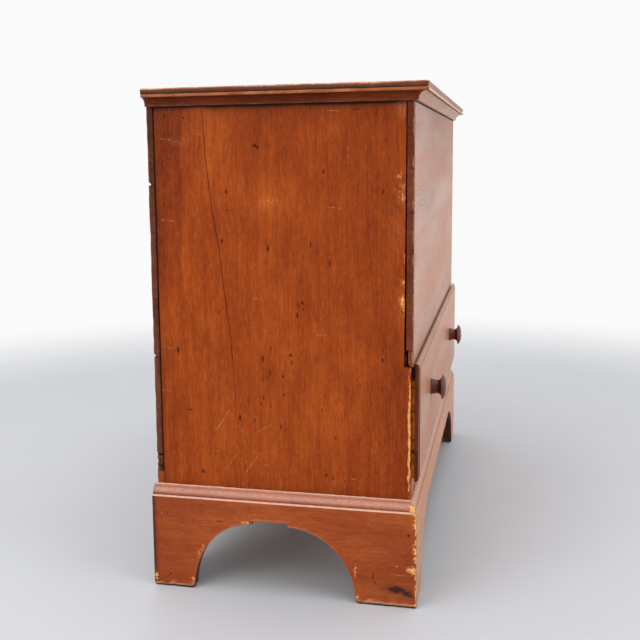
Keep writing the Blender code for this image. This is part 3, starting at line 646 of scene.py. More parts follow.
@dataclass(frozen=True)
class KnobFinish:
    """Dark polished hardwood with turning lines and rubbed edges."""

    name: str = "knob_polish"
    dark: Colour = seen(54, 19, 11)
    light: Colour = seen(126, 56, 36)

    def material(self) -> bpy.types.Material:
        """The finish as a node material."""
        graph = Graph(self.name)
        place = graph.place()
        cloud = graph.noise(graph.mapped(place, (1.0, 0.35, 1.0)), 130.0, 4.0, 0.6)
        fine = graph.noise(graph.mapped(place, (0.2, 1.0, 1.0)), 900.0, 2.0)
        colour = graph.ramp(cloud, ((0.30, self.dark), (0.72, self.light)))
        colour = graph.blend(graph.band(fine, 0.55, 0.8, 0.0, 0.5), colour, self.dark)
        worn = graph.band(graph.maths("ADD", graph.mark("wear"), cloud), 1.0, 1.35, 0.0, 0.6)
        colour = graph.blend(worn, colour, seen(150, 82, 56))
        rough = graph.band(cloud, 0.3, 0.7, 0.26, 0.42)
        normal = graph.bump(fine, 0.18, 0.2 * MM)
        return graph.finish(base_color=colour, roughness=rough, normal=normal, specular_ior_level=0.36)


@dataclass(frozen=True)
class IronFinish:
    """Dull dark iron with rust."""

    name: str = "dull_iron"
    steel: Colour = seen(46, 35, 29)
    rust: Colour = seen(86, 46, 28)

    def material(self) -> bpy.types.Material:
        """The finish as a node material."""
        graph = Graph(self.name)
        place = graph.place()
        cloud = graph.noise(place, 260.0, 5.0, 0.65)
        rusty = graph.band(cloud, 0.48, 0.62)
        colour = graph.blend(rusty, self.steel, self.rust)
        metal = graph.band(cloud, 0.46, 0.60, 0.25, 0.05)
        rough = graph.band(cloud, 0.3, 0.7, 0.55, 0.88)
        normal = graph.bump(graph.noise(place, 1400.0, 3.0), 0.3, 0.2 * MM)
        return graph.finish(base_color=colour, metallic=metal, roughness=rough, normal=normal)


def pits(shape: Pit, *places: tuple[float, float], dark: float = 0.9) -> tuple[Spot, ...]:
    """Pits of one shape and darkness at several places."""
    return tuple(Spot(place, shape, dark) for place in places)


def strokes(width: float, *lines: tuple[tuple[float, float], tuple[float, float]]) -> tuple[Stroke, ...]:
    """Scratches of one width in millimetres, each from one place to another."""
    return tuple(Stroke(start, end, width * MM) for start, end in lines)


END_TONES = {"dark": seen(106, 38, 14), "middle": seen(152, 64, 20), "light": seen(184, 88, 30)}
FRONT_TONES = {"dark": seen(98, 42, 22), "middle": seen(146, 72, 36), "light": seen(176, 98, 52)}
BASE_TONES = {"dark": seen(122, 50, 22), "middle": seen(154, 69, 29), "light": seen(180, 93, 42)}
EDGE_TONES = {"dark": seen(66, 30, 20), "middle": seen(112, 60, 42), "light": seen(146, 86, 62)}
RAW_TONES = {"dark": seen(128, 80, 42), "middle": seen(170, 116, 66), "light": seen(200, 150, 94)}

# Marks on the left end and its base, as place across and height
END_SPOTS = (
    *pits(Pit.DOT, (0.213, 0.839), (0.179, 0.835), (0.209, 0.767), (0.105, 0.678)),
    *pits(Pit.DOT, (-0.026, 0.510), dark=0.80),
    *pits(Pit.DOT, (-0.098, 0.211), dark=0.70),
    *pits(Pit.DOT, (0.033, 0.339), (-0.151, 0.230), dark=0.65),
    *pits(Pit.DOT, (0.046, 0.385), (0.114, 0.249), dark=0.50),
    *pits(Pit.HOLE, (0.055, 0.787), (0.050, 0.784), (-0.025, 0.521), (-0.003, 0.430), (0.159, 0.213)),
    *pits(Pit.HOLE, (-0.162, 0.428), dark=0.80),
    *pits(Pit.HOLE, (0.011, 0.392), dark=0.75),
    *pits(Pit.HOLE, (0.009, 0.359), dark=0.65),
    *pits(Pit.SLIT, (0.106, 0.710), (0.115, 0.626), (-0.063, 0.743), (-0.163, 0.708)),
    *pits(Pit.SLIT, (0.033, 0.398), dark=0.80),
    *pits(Pit.SLIT, (0.046, 0.353), (-0.065, 0.220), dark=0.75),
    *pits(Pit.SLIT, (-0.005, 0.417), (0.063, 0.311), dark=0.70),
    *pits(Pit.SLIT, (0.050, 0.342), (-0.076, 0.216), dark=0.65),
    *pits(Pit.SLIT, (0.123, 0.502), (-0.081, 0.287), (0.015, 0.302), dark=0.60),
    *pits(Pit.SLIT, (0.080, 0.223), dark=0.55),
    *pits(Pit.SLIT, (-0.058, 0.336), (0.086, 0.338), dark=0.50),
    *pits(Pit.LONG, (0.034, 0.613), (-0.016, 0.500), (0.200, 0.433), (0.046, 0.422), (0.089, 0.315)),
    *pits(Pit.THIN, (-0.040, 0.621), (-0.073, 0.589)),
    *pits(Pit.THIN, (0.032, 0.438), dark=0.80),
    *pits(Pit.THIN, (-0.017, 0.515), dark=0.60),
    *pits(Pit.THIN, (-0.074, 0.441), dark=0.50),
    *pits(Pit.FLAT, (-0.119, 0.843), (0.180, 0.325)),
)
BASE_SPOTS = (
    *pits(Pit.HOLE, (-0.2095, 0.1305), (-0.2205, 0.1550), (0.069, 0.131)),
    *pits(Pit.DOT, (0.219, 0.024), (-0.152, 0.042), (0.221, 0.140)),
    *pits(Pit.THIN, (-0.149, 0.052)),
    *pits(Pit.FLAT, (0.125, 0.130), dark=0.60),
)
FRONT_END_SPOTS = pits(Pit.DOT, (-0.2035, 0.811))
END_STROKES = (
    *strokes(0.7, ((0.097, 0.303), (0.081, 0.288))),
    *strokes(0.8, ((0.202, 0.799), (0.222, 0.801)), ((0.066, 0.287), (0.051, 0.294)),
             ((0.047, 0.230), (0.034, 0.234))),
    *strokes(0.9, ((-0.090, 0.841), (-0.060, 0.8425)), ((0.026, 0.692), (0.032, 0.694)),
             ((0.036, 0.703), (0.041, 0.704)), ((-0.104, 0.784), (-0.104, 0.756)),
             ((0.086, 0.516), (0.079, 0.514)), ((0.048, 0.297), (0.032, 0.305)),
             ((0.108, 0.230), (0.098, 0.248)), ((-0.119, 0.300), (-0.126, 0.302)),
             ((-0.107, 0.216), (-0.119, 0.216))),
    *strokes(1.1, ((0.199, 0.659), (0.224, 0.662)), ((0.227, 0.438), (0.209, 0.434)),
             ((0.132, 0.291), (0.107, 0.329)), ((0.080, 0.216), (0.055, 0.252))),
    *strokes(1.2, ((-0.092, 0.682), (-0.068, 0.684)), ((0.064, 0.527), (0.052, 0.528)),
             ((-0.052, 0.467), (-0.064, 0.467)), ((-0.068, 0.521), (-0.071, 0.526))),
    *strokes(1.3, ((0.145, 0.809), (0.155, 0.807))),
    *strokes(1.4, ((0.043, 0.472), (0.042, 0.470)), ((0.044, 0.499), (0.043, 0.497)),
             ((0.138, 0.251), (0.128, 0.252))),
    *strokes(1.6, ((-0.046, 0.485), (-0.046, 0.482))),
    *strokes(1.8, ((0.226, 0.460), (0.223, 0.460))),
)

# Soft patches of the end, then of the base's end: place along, height, half width, half height and amount
END_BARE = ((-0.194, 0.705, 0.008, 0.022, 0.58), (-0.196, 0.525, 0.008, 0.020, 0.76),
            (-0.197, 0.560, 0.006, 0.014, 0.64), (-0.198, 0.600, 0.004, 0.012, 0.52),
            (-0.188, 0.735, 0.008, 0.008, 0.50), (0.030, 0.695, 0.020, 0.008, 0.40))
END_PALE = ((-0.189, 0.709, 0.010, 0.028, 0.18), (-0.194, 0.845, 0.008, 0.014, 0.50),
            (0.026, 0.690, 0.026, 0.009, 0.14), (-0.185, 0.645, 0.012, 0.050, 0.12),
            (-0.193, 0.522, 0.012, 0.034, 0.15), (0.190, 0.795, 0.020, 0.006, 0.14))
END_SHADES = ((-0.140, 0.690, 0.075, 0.220, -0.60), (-0.167, 0.300, 0.050, 0.120, -0.30),
              (0.140, 0.800, 0.035, 0.090, 0.55), (0.033, 0.690, 0.055, 0.060, 0.50),
              (0.103, 0.515, 0.060, 0.160, 0.35), (-0.054, 0.338, 0.070, 0.110, 0.50),
              (0.068, 0.268, 0.080, 0.080, 0.35), (0.205, 0.268, 0.030, 0.120, -0.35),
              (-0.020, 0.830, 0.070, 0.050, -0.30))
BASE_BARE = ((0.465, 0.068, 0.012, 0.009, 0.85), (0.448, 0.067, 0.005, 0.004, 0.55),
             (0.440, 0.072, 0.004, 0.003, 0.60), (0.470, 0.155, 0.006, 0.016, 0.62),
             (0.469, 0.174, 0.007, 0.008, 1.20), (0.086, 0.066, 0.006, 0.010, 0.68),
             (0.094, 0.080, 0.005, 0.008, 0.68), (0.368, 0.062, 0.004, 0.018, 0.55),
             (0.470, 0.100, 0.004, 0.030, 0.60), (0.175, 0.131, 0.010, 0.004, 0.80),
             (0.186, 0.136, 0.003, 0.002, 0.80), (0.003, 0.004, 0.007, 0.004, 0.70),
             (0.075, 0.006, 0.005, 0.006, 0.70), (0.004, 0.018, 0.005, 0.010, 0.75),
             (0.074, 0.016, 0.004, 0.012, 0.70), (0.3725, 0.012, 0.004, 0.010, 0.70))

END_LEFT = WoodFinish(
    "end_stain_left", Grain.ALONG_Z, **END_TONES, bare=seen(250, 180, 106), rubbed=seen(212, 140, 88),
    gloss=0.07, flecks=0.62, spots=END_SPOTS, strokes=END_STROKES, figure_centre=(-0.40, 0.30, 0.5))
END_RIGHT = replace(
    END_LEFT, name="end_stain_right", spots=(), strokes=(), shift=(0.3, 0.7, 0.2),
    figure_centre=(0.40, -0.26, 0.5))
# Its rubbed colour is greyed and paled as a painted reflection on the base moulding
BASE_LEFT = WoodFinish(
    "base_end_stain_left", Grain.ALONG_Y, **BASE_TONES, bare=seen(255, 196, 130),
    rubbed=seen(238, 197, 176), grime_and_shade=seen(62, 32, 27), gloss=0.14, flecks=0.35, scratches=0.3,
    spots=BASE_SPOTS, figure_centre=(0.0, 0.0, -0.3))
BASE_RIGHT = replace(BASE_LEFT, name="base_end_stain_right", spots=(), shift=(0.1, 0.4, 0.9))
FRONT = WoodFinish(
    "front_stain", Grain.ALONG_X, **FRONT_TONES, bare=seen(240, 198, 158), rubbed=seen(222, 184, 156),
    thin=seen(204, 146, 108), gloss=0.3, roughness=0.30, haze=0.56, flecks=0.1, scratches=0.25,
    figure=Figure.KNOTTED, figure_centre=(-0.42, -0.21, 0.660))
BOARD_END = WoodFinish(
    "board_end_stain", Grain.ALONG_Y, dark=seen(70, 30, 20), middle=seen(118, 58, 40),
    light=seen(156, 88, 62), bare=seen(226, 168, 122), thin=seen(176, 108, 76), grime_and_shade=seen(46, 20, 15),
    gloss=0.05, flecks=0.4, spots=FRONT_END_SPOTS)
LIP_END = WoodFinish(
    "lip_end_stain", Grain.ALONG_Z, dark=seen(46, 18, 9), middle=seen(92, 42, 23), light=seen(128, 66, 38),
    thin=seen(134, 70, 42), grime_and_shade=seen(82, 37, 21), gloss=0.05, flecks=0.3)
COLLAR_END = WoodFinish(
    "collar_end_stain", Grain.ALONG_Z, dark=seen(78, 30, 6), middle=seen(140, 66, 14),
    light=seen(190, 104, 34), bare=seen(186, 98, 26), thin=seen(146, 70, 16), grime_and_shade=seen(30, 12, 6),
    gloss=0.05, flecks=0.8)
DRAWER_FACE = WoodFinish(
    "drawer_stain", Grain.ALONG_X, **FRONT_TONES, bare=seen(196, 118, 42), grime_and_shade=seen(62, 20, 12),
    gloss=0.3, roughness=0.30, haze=0.55, flecks=0.15, scratches=0.25, shift=(0.4, 0.1, 0.33),
    figure_centre=(0.0, 0.2, 0.1))
BASE_FACE = WoodFinish(
    "base_front_stain", Grain.ALONG_X, **FRONT_TONES, bare=seen(240, 190, 124), gloss=0.3,
    rubbed=seen(212, 172, 150), roughness=0.31, haze=0.86, flecks=0.15, shift=(0.8, 0.3, 0.6),
    figure_centre=(0.0, 0.2, -0.2))
RAIL_FACE = replace(BASE_FACE, name="rail_stain", haze=0.95)
LID_TOP = WoodFinish(
    "lid_stain", Grain.ALONG_X, **FRONT_TONES, bare=seen(232, 188, 146), rubbed=seen(200, 138, 98),
    thin=seen(192, 122, 80), gloss=0.3, roughness=0.34, haze=0.4, flecks=0.4, scratches=0.9,
    figure=Figure.ARCHED, figure_centre=(0.15, 0.05, 0.885))
MOULD_END = WoodFinish(
    "moulding_end_stain", Grain.ALONG_Y, dark=seen(68, 24, 9), middle=seen(114, 46, 18),
    light=seen(148, 70, 30), rubbed=seen(206, 126, 80), gloss=0.09, flecks=0.3, shift=(0.2, 0.6, 0.1))
# Its pale pinkish-grey rubbed and bare colours are a painted reflection of the glare on the front moulding
MOULD_FRONT = WoodFinish(
    "moulding_front_stain", Grain.ALONG_X, **FRONT_TONES, bare=seen(220, 180, 160),
    rubbed=seen(218, 182, 164), gloss=0.3, roughness=0.31, haze=0.9, flecks=0.15, shift=(0.5, 0.2, 0.8))
BACK = WoodFinish(
    "back_stain", Grain.ALONG_X, **EDGE_TONES, gloss=0.06, roughness=0.55, flecks=0.6,
    bare=seen(168, 104, 56), thin=seen(120, 62, 36))
# Near-black finish for faces that lie in shade: a painted shadow under the lid's edge and its mouldings
SHADOW_LINE = WoodFinish(
    "painted_shadow_line", Grain.ALONG_X, dark=seen(18, 9, 7), middle=seen(34, 17, 12), light=seen(62, 32, 22),
    gloss=0.05, roughness=0.6, flecks=0.2)
RAW_X = WoodFinish(
    "bare_pine_long", Grain.ALONG_X, **RAW_TONES, thin=seen(196, 142, 84), gloss=0.2, roughness=0.68,
    flecks=0.35)
RAW_Y = replace(RAW_X, name="bare_pine_deep", grain=Grain.ALONG_Y)
RAW_Z = replace(RAW_X, name="bare_pine_upright", grain=Grain.ALONG_Z)
KNOB = KnobFinish()
IRON = IronFinish()

Finish = WoodFinish | KnobFinish | IronFinish
MADE: dict[str, bpy.types.Material] = {}


def made(finish: Finish) -> bpy.types.Material:
    """Material of a finish, which is made once."""
    if finish.name not in MADE:
        MADE[finish.name] = finish.material()
    return MADE[finish.name]


def dress(piece: bpy.types.Object, finish: Finish) -> None:
    """Puts a finish on a piece."""
    piece.data.materials.clear()
    piece.data.materials.append(made(finish))


def face_centres(piece: bpy.types.Object) -> Array:
    """Middle of each of a piece's faces."""
    centres = np.empty(3 * len(piece.data.polygons), np.float32)
    piece.data.polygons.foreach_get("center", centres)
    return centres.reshape(-1, 3)


def dress_faces(piece: bpy.types.Object, finish: Finish, chosen: Array) -> None:
    """Puts a further finish on those of a dressed piece's faces that are chosen."""
    slots = np.empty(len(piece.data.polygons), np.int32)
    piece.data.polygons.foreach_get("material_index", slots)
    slots[chosen] = len(piece.data.materials)
    piece.data.materials.append(made(finish))
    piece.data.polygons.foreach_set("material_index", slots)


def settle(piece: bpy.types.Object, body: str, nodes: tuple[str, ...], finish: Finish) -> None:
    """Joins a new piece to its body, its nodes and its finish, and reports it.

    Args:
        piece: The new piece, in place.
        body: Body of the frame that it moves with.
        nodes: Nodes of the frame that it stands for.
        finish: Finish of its surface.
    """
    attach(piece, body)
    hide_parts(*nodes)
    dress(piece, finish)
    LOG.info("%s: %d faces, on %s", piece.name, len(piece.data.polygons), body)


@dataclass
class Board:
    """A plain board between two corners, with rounded edges, ragged ends and worn borders.

    The wear is that of the first long axis at its low and high border, then of the second.
    """

    name: str
    low: Array
    high: Array
    thin: int
    seed: int
    step: float = 6.0 * MM
    radius: float = 1.2 * MM
    ragged: float = 0.0
    wear: tuple[float, float, float, float] = (0.3, 0.3, 0.3, 0.3)
    wear_reach: float = 2.5 * MM
    rub: float = 0.3
    grime_and_shade: float = 0.25
    end_tone: float = -0.4
    end_grime: float = 0.1
    chip_reach: float = 12.0 * MM
    dirt_reach: float = 9.0 * MM
    rub_reach: float = 1.8 * MM
    extra: tuple[float, ...] = ()

    def slab(self) -> Slab:
        """Two flat grids across the board, rolled back at the border by the rounding's depth."""
        first, second = [axis for axis in range(3) if axis != self.thin]
        along = stations(self.low[first], self.high[first], self.step)
        across = stations(self.low[second], self.high[second], self.step, self.extra)
        grid = np.stack(np.meshgrid(along, across, indexing="ij"), -1)
        gaps = (grid[..., 0] - self.low[first], self.high[first] - grid[..., 0],
                grid[..., 1] - self.low[second], self.high[second] - grid[..., 1])
        border = np.minimum.reduce(gaps)
        radius = self.radius * np.clip(1.0 + 0.6 * ripple(grid, 0.05, self.seed), 0.35, 2.2)
        radius = np.minimum(radius, 0.45 * (self.high[self.thin] - self.low[self.thin]))
        depth = rolled(border, radius)
        place = grid.copy()
        for sign, gap, seed in ((1.0, gaps[0], 11), (-1.0, gaps[1], 23)):
            chip = chipped(grid[..., 1], self.ragged, 0.05, self.seed + seed)
            place[..., 0] += sign * chip * held(1.0 - gap / self.chip_reach)
        worn = np.maximum.reduce([amount * held(1.0 - gap / self.wear_reach)
                                  for amount, gap in zip(self.wear, gaps)])
        dirt_and_shade = self.grime_and_shade * np.exp(-border / self.dirt_reach)
        tone = 0.22 * ripple(grid * GRAIN_FLOW, 0.10, self.seed + 5)
        front = self.raised(place, depth, 1.0)
        back = self.raised(place, depth, -1.0)
        rub = self.rub * held(1.0 - border / self.rub_reach)
        marks = {"wear": (worn, worn), "grime_and_shade": (dirt_and_shade, dirt_and_shade), "tone": (tone, tone), "rub": (rub, rub)}
        return Slab(self.name, front, back, marks, rim_added={"tone": self.end_tone, "grime_and_shade": self.end_grime})

    def raised(self, place: Array, depth: Array, sign: float) -> Array:
        """Grid on the high or the low face, below it by a depth."""
        level = self.high[self.thin] - depth if sign > 0 else self.low[self.thin] + depth
        return np.insert(place, self.thin, level, axis=-1)


@dataclass
class EndBoard:
    """Upright end of the case, notched at the front for the front board."""

    side: Side
    step: float = 3.0 * MM
    joint: float = 1.5 * MM
    joint_foot: float = 3.4 * MM
    ledge: float = 1.4 * MM
    notch_reach: float = 30.0 * MM
    edge_radius: float = 2.6 * MM
    notch_radius: float = 1.1 * MM
    plain_radius: float = 0.5 * MM
    crack_home: float = 0.120
    crack_window: float = 0.090
    crack_depth: float = 2.0 * MM
    crack_half: float = 0.45 * MM
    crack_shade: float = 1.7 * MM
    crack_reach: float = 1.2 * MM
    crack_columns: tuple[float, ...] = (-1.6, -0.45, 0.0, 0.45, 1.6)
    notch_rows: tuple[float, ...] = (-3.0, -1.4, -0.7, 0.0, 1.2)
    crack_y: tuple[float, ...] = (0.094, 0.095, 0.103, 0.115, 0.121, 0.132, 0.142, 0.146, 0.148)
    crack_z: tuple[float, ...] = (0.270, 0.317, 0.456, 0.554, 0.612, 0.679, 0.770, 0.847, 0.866)
    dark_border: float = 0.184

    def build(self) -> bpy.types.Object:
        """Grid of rows up the board; its front column follows the notch, and one column follows the crack."""
        name = f"end_board_{self.side.word}"
        low, high = node_box(name)
        front_low, front_high = node_box("front_board")
        notch_z = front_low[2] - self.joint / 2.0
        across = stations(low[1], high[1], self.step, self.crack_home + np.array(self.crack_columns) * MM)
        up = stations(low[2], high[2], self.step, notch_z + np.array(self.notch_rows) * MM)
        home, z = np.meshgrid(across, up, indexing="ij")
        notch_y = front_high[1] + np.interp(z, (notch_z, high[2]), (self.joint_foot, self.joint))
        front_edge = low[1] + (notch_y - low[1]) * held((z - notch_z + self.ledge) / self.ledge)
        y = home + (front_edge - low[1]) * held(1.0 - (home - low[1]) / self.notch_reach)
        strength = self.crack_strength(z)
        from_crack = np.abs(home - self.crack_home)
        window = held(1.0 - from_crack / self.crack_window)
        follow = np.interp(z, self.crack_z, self.crack_y) - self.crack_home
        y += follow * np.sin(0.5 * np.pi * window) ** 2
        groove = held(1.0 - from_crack / self.crack_half) * strength
        place = np.stack([y, z], -1)

        lower = held((notch_z - z) / self.ledge)
        to_front = y - front_edge
        radius = self.notch_radius + (self.edge_radius - self.notch_radius) * lower
        radius = radius * np.clip(1.0 + 0.5 * ripple(z[..., None], 0.03, 71), 0.5, 1.8)
        plain = np.minimum.reduce([high[1] - y, high[2] - z, z - low[2]])
        worn_flat = 0.12 * MM * (1.0 + ripple(place, 0.11, 72))
        depth = rolled(to_front, radius) + rolled(plain, self.plain_radius)
        depth = depth + np.maximum(worn_flat, 0.0) + self.crack_depth * groove
        outer_x = high[0] if self.side is Side.RIGHT else low[0]
        inner_x = low[0] if self.side is Side.RIGHT else high[0]
        outer = np.stack([outer_x - self.side.value * depth, y, z], -1)
        inner_depth = rolled(np.minimum(to_front, plain), self.plain_radius)
        inner = np.stack([inner_x + self.side.value * inner_depth, y, z], -1)

        wear = self.wear(place, to_front, lower)
        rub = self.rub(place)
        none = np.zeros_like(wear)
        raw = np.full_like(wear, 0.85)
        lid_foot = node_box("lid_moulding_front")[0][2]
        under_lid = (lid_foot - z).clip(0.0)
        inside_lid = (z - lid_foot).clip(0.0)
        # Painted shade: the end is darkened just under the lid moulding, where its shadow gap falls, and just
        # above the base moulding; it also darkens towards the rear edge
        dirt_and_shade = 2.0 * np.exp(-under_lid / 0.0032) + 0.35 * np.exp(-under_lid / 0.014)
        dirt_and_shade = dirt_and_shade * np.exp(-inside_lid / 0.003)
        dirt_and_shade = dirt_and_shade + 0.35 * np.exp(-(z - 0.186).clip(0.0) / 0.008)
        dirt_and_shade = dirt_and_shade + 0.45 * np.exp(-(high[1] - y) / 0.006)
        # The crack is real and grooved; its near-black in and beside the groove is painted shade
        shade = 0.25 + 0.35 * held(1.0 - from_crack / self.crack_shade)
        crack_and_shadow = np.maximum(groove, strength * shade * (from_crack < self.crack_reach))
        marks = {"wear": (wear, none), "grime_and_shade": (dirt_and_shade, none), "tone": (self.tone(place), none),
                 "crack_and_shadow": (crack_and_shadow, none), "raw": (none, raw), "rub": (rub, none)}
        return Slab(f"end_panel_{self.side.word}", outer, inner, marks).build()

    def crack_strength(self, z: Array) -> Array:
        """How open the crack is at a height: wide at the top, closed at its foot, none on the right."""
        if self.side is Side.RIGHT:
            return np.zeros_like(z)
        openness = np.interp(z, (0.285, 0.45, 0.60, 0.80, 0.835, 0.866), (0.0, 0.6, 0.85, 0.9, 0.45, 0.35))
        return openness * np.clip(0.8 + 0.25 * ripple(z[..., None], 0.06, 73), 0.2, 1.0)

    def wear(self, place: Array, to_front: Array, lower: Array) -> Array:
        """Bare wood along the lower front edge and in rubbed patches beside the notch."""
        height = place[..., 1]
        home = (2.5 + 0.7 * ripple(height[..., None], 0.04, 77)) * MM
        strength = np.interp(height, (0.19, 0.21, 0.25, 0.35, 0.38, 0.41), (0.4, 0.6, 0.95, 0.95, 0.65, 0.5))
        edge = lower * strength * np.exp(-((to_front - home) / (2.6 * MM)) ** 2)
        edge = np.maximum(edge, 0.12 * held(1.0 - to_front / (2.0 * MM)))
        return np.maximum(edge, patched(place, END_BARE))

    def rub(self, place: Array) -> Array:
        """Thin places of the stain, rubbed pale."""
        return patched(place, END_PALE) * np.clip(0.7 + 0.8 * ripple(place, 0.012, 76), 0.0, 1.6)

    def tone(self, place: Array) -> Array:
        """Broad lighter and darker parts of the stain."""
        total = 0.12 * ripple(place, 0.22, 74 + self.side.value)
        for y, z, wide, tall, amount in END_SHADES:
            total = total + amount * hill(place, (y, z), (wide, tall))
        wander = 3.0 * MM * ripple(place[..., 1:], 0.16, 78)
        behind = held((place[..., 0] + wander - self.dark_border) / (3.0 * MM))
        return total - 0.75 * behind * held((place[..., 1] - 0.52) / 0.08)


@dataclass
class CaseBoards:
    """Ends, front, back, well floor, rail and runners of the case."""

    heel: float = 8.0 * MM
    tongue_top: float = 0.444
    tongue_inset: float = 3.2 * MM
    shadow_band_height: float = 2.4 * MM
    break_level: float = 0.222
    break_height: float = 0.020
    break_depth: float = 6.0 * MM
    whole_level: float = 0.206
    hollows: tuple[tuple[float, float, float], ...] = ((0.2380, 2.0 * MM, 0.9), (0.2155, 6.5 * MM, 0.15))
    back_gap: float = 2.6 * MM
    seam_bevel: float = 3.2 * MM
    seam_run: float = 25.0 * MM
    seam_notch: float = 2.4 * MM
    notch_run: float = 8.0 * MM
    seam_dirt: float = 3.0 * MM
    nicks: tuple[float, ...] = (0.746, 0.6745, 0.6065)
    nick_half: float = 1.6 * MM
    nick_depth: float = 1.2 * MM
    shadow_band_reach: float = 3.0 * MM
    end_skin: float = 0.6 * MM
    torn_skin: float = 1.0 * MM
    break_rows: tuple[float, ...] = (-1.0, 0.0, 0.7, 1.4, 2.4)
    tongue_run: float = 1.4 * MM
    inner_run: float = 8.0 * MM
    gap_run: float = 12.0 * MM
    corner_run: float = 15.0 * MM
    hollow_reach: float = 2.5 * MM
    tear_reach: float = 0.03

    def build(self) -> None:
        """Builds every board of the case and gives it its finish."""
        for side, finish in ((Side.LEFT, END_LEFT), (Side.RIGHT, END_RIGHT)):
            settle(EndBoard(side).build(), "case", (f"end_board_{side.word}",), finish)
        front = self.front_board()
        settle(front, "case", ("front_board",), FRONT)
        shadow_band_z = node_box("lid_moulding_front")[0][2] - self.shadow_band_height
        front_low, front_high = node_box("front_board")
        case_half = front_high[0]
        centres = face_centres(front)
        # Painted shadow: the front board's outer faces just under the lid moulding get the near-black finish
        shadow_band = (centres[:, 2] > shadow_band_z) & (centres[:, 2] < shadow_band_z + 2.0 * self.shadow_band_height)
        dress_faces(front, SHADOW_LINE, shadow_band & (centres[:, 1] < front_low[1] + self.shadow_band_reach))
        dress_faces(front, BOARD_END, np.abs(centres[:, 0]) > case_half - self.end_skin)
        for seed, level in enumerate(("top", "middle", "bottom")):
            back = self.back_board(level, 30 + seed)
            finish = replace(BACK, name=f"back_stain_{level}", shift=(0.4 * seed, 0.1, 0.7 * seed))
            settle(back, "case", (f"back_board_{level}",), finish)
            if level == "bottom":
                centres = face_centres(back)
                at_end = np.abs(centres[:, 0]) > case_half - self.torn_skin
                dress_faces(back, END_RIGHT, at_end & (centres[:, 2] < self.whole_level))
        low, high = node_box("well_floor")
        floor = Board("well_floor_boards", low, high, 2, 41, radius=0.6 * MM, grime_and_shade=0.5).slab().build()
        settle(floor, "case", ("well_floor",), RAW_X)
        low, high = node_box("front_rail")
        rail = Board("drawer_rail", low, high, 1, 42, radius=1.6 * MM, wear=(0.2, 0.2, 0.2, 0.6), grime_and_shade=0.0)
        settle(rail.slab().build(), "case", ("front_rail",), RAIL_FACE)
        for side in Side:
            low, high = node_box(f"drawer_runner_{side.word}")
            runner = Board(f"runner_{side.word}", low, high, 0, 43, radius=1.0 * MM, grime_and_shade=0.4).slab().build()
            settle(runner, "case", (f"drawer_runner_{side.word}",), RAW_Y)

    def front_board(self) -> bpy.types.Object:
        """Board with a rounded lower inner edge, and small chips and nicks along its ends."""
        low, high = node_box("front_board")
        shadow_band_z = node_box("lid_moulding_front")[0][2] - self.shadow_band_height
        breaks = self.tongue_top + np.array(self.break_rows) * MM
        nick_shares = np.array([-1.6, -0.6, 0.0, 0.6, 1.6])
        nick_rows = (np.array(self.nicks)[:, None] + self.nick_half * nick_shares).ravel()
        shadow_band_rows = (shadow_band_z, shadow_band_z + 2.0 * self.shadow_band_height)
        board = Board("front_panel", low, high, 1, 21, step=5.0 * MM, radius=2.0 * MM, ragged=0.2 * MM,
                      wear=(0.40, 0.40, 0.2, 0.0), wear_reach=2.6 * MM, rub=0.4, grime_and_shade=0.2,
                      end_tone=0.0, end_grime=0.05, extra=(*shadow_band_rows, *breaks, *nick_rows))
        slab = board.slab()
        heel = rolled(slab.front[..., 2] - low[2], self.heel)
        heel = heel + self.tongue_inset * held((breaks[3] - slab.front[..., 2]) / self.tongue_run)
        slab.front[..., 1] -= np.minimum(heel, 0.9 * (high[1] - low[1] - board.radius * 2.2))
        x, z = slab.front[..., 0], slab.front[..., 2]
        to_end = np.minimum(x - low[0], high[0] - x)
        inside = 0.8 * held(np.minimum(to_end, z - low[2]) / self.inner_run - 1.0)
        none = np.zeros_like(heel)
        slab.marks["raw"] = (inside, none)
        for label in ("wear", "rub"):
            slab.marks[label] = (none, slab.marks[label][1])
        dark_end = np.exp(-(to_end / (1.5 * MM)) ** 2) * (z - low[2]) / (high[2] - low[2])
        slab.marks["tone"] = tuple(tone - 0.5 * dark_end for tone in slab.marks["tone"])
        split = 0.85 * np.exp(-((z - breaks[2]) / (0.9 * MM)) ** 2) * (to_end < 1.0 * MM)
        from_nick = np.abs(z[..., None] - np.array(self.nicks)).min(-1)
        nick = np.exp(-(from_nick / self.nick_half) ** 2) * held(1.0 - to_end / (2.0 * MM))
        slab.back[..., 0] -= np.sign(x) * self.nick_depth * nick
        slab.marks["crack_and_shadow"] = (split, np.maximum(split, 0.9 * nick))
        return slab.build()

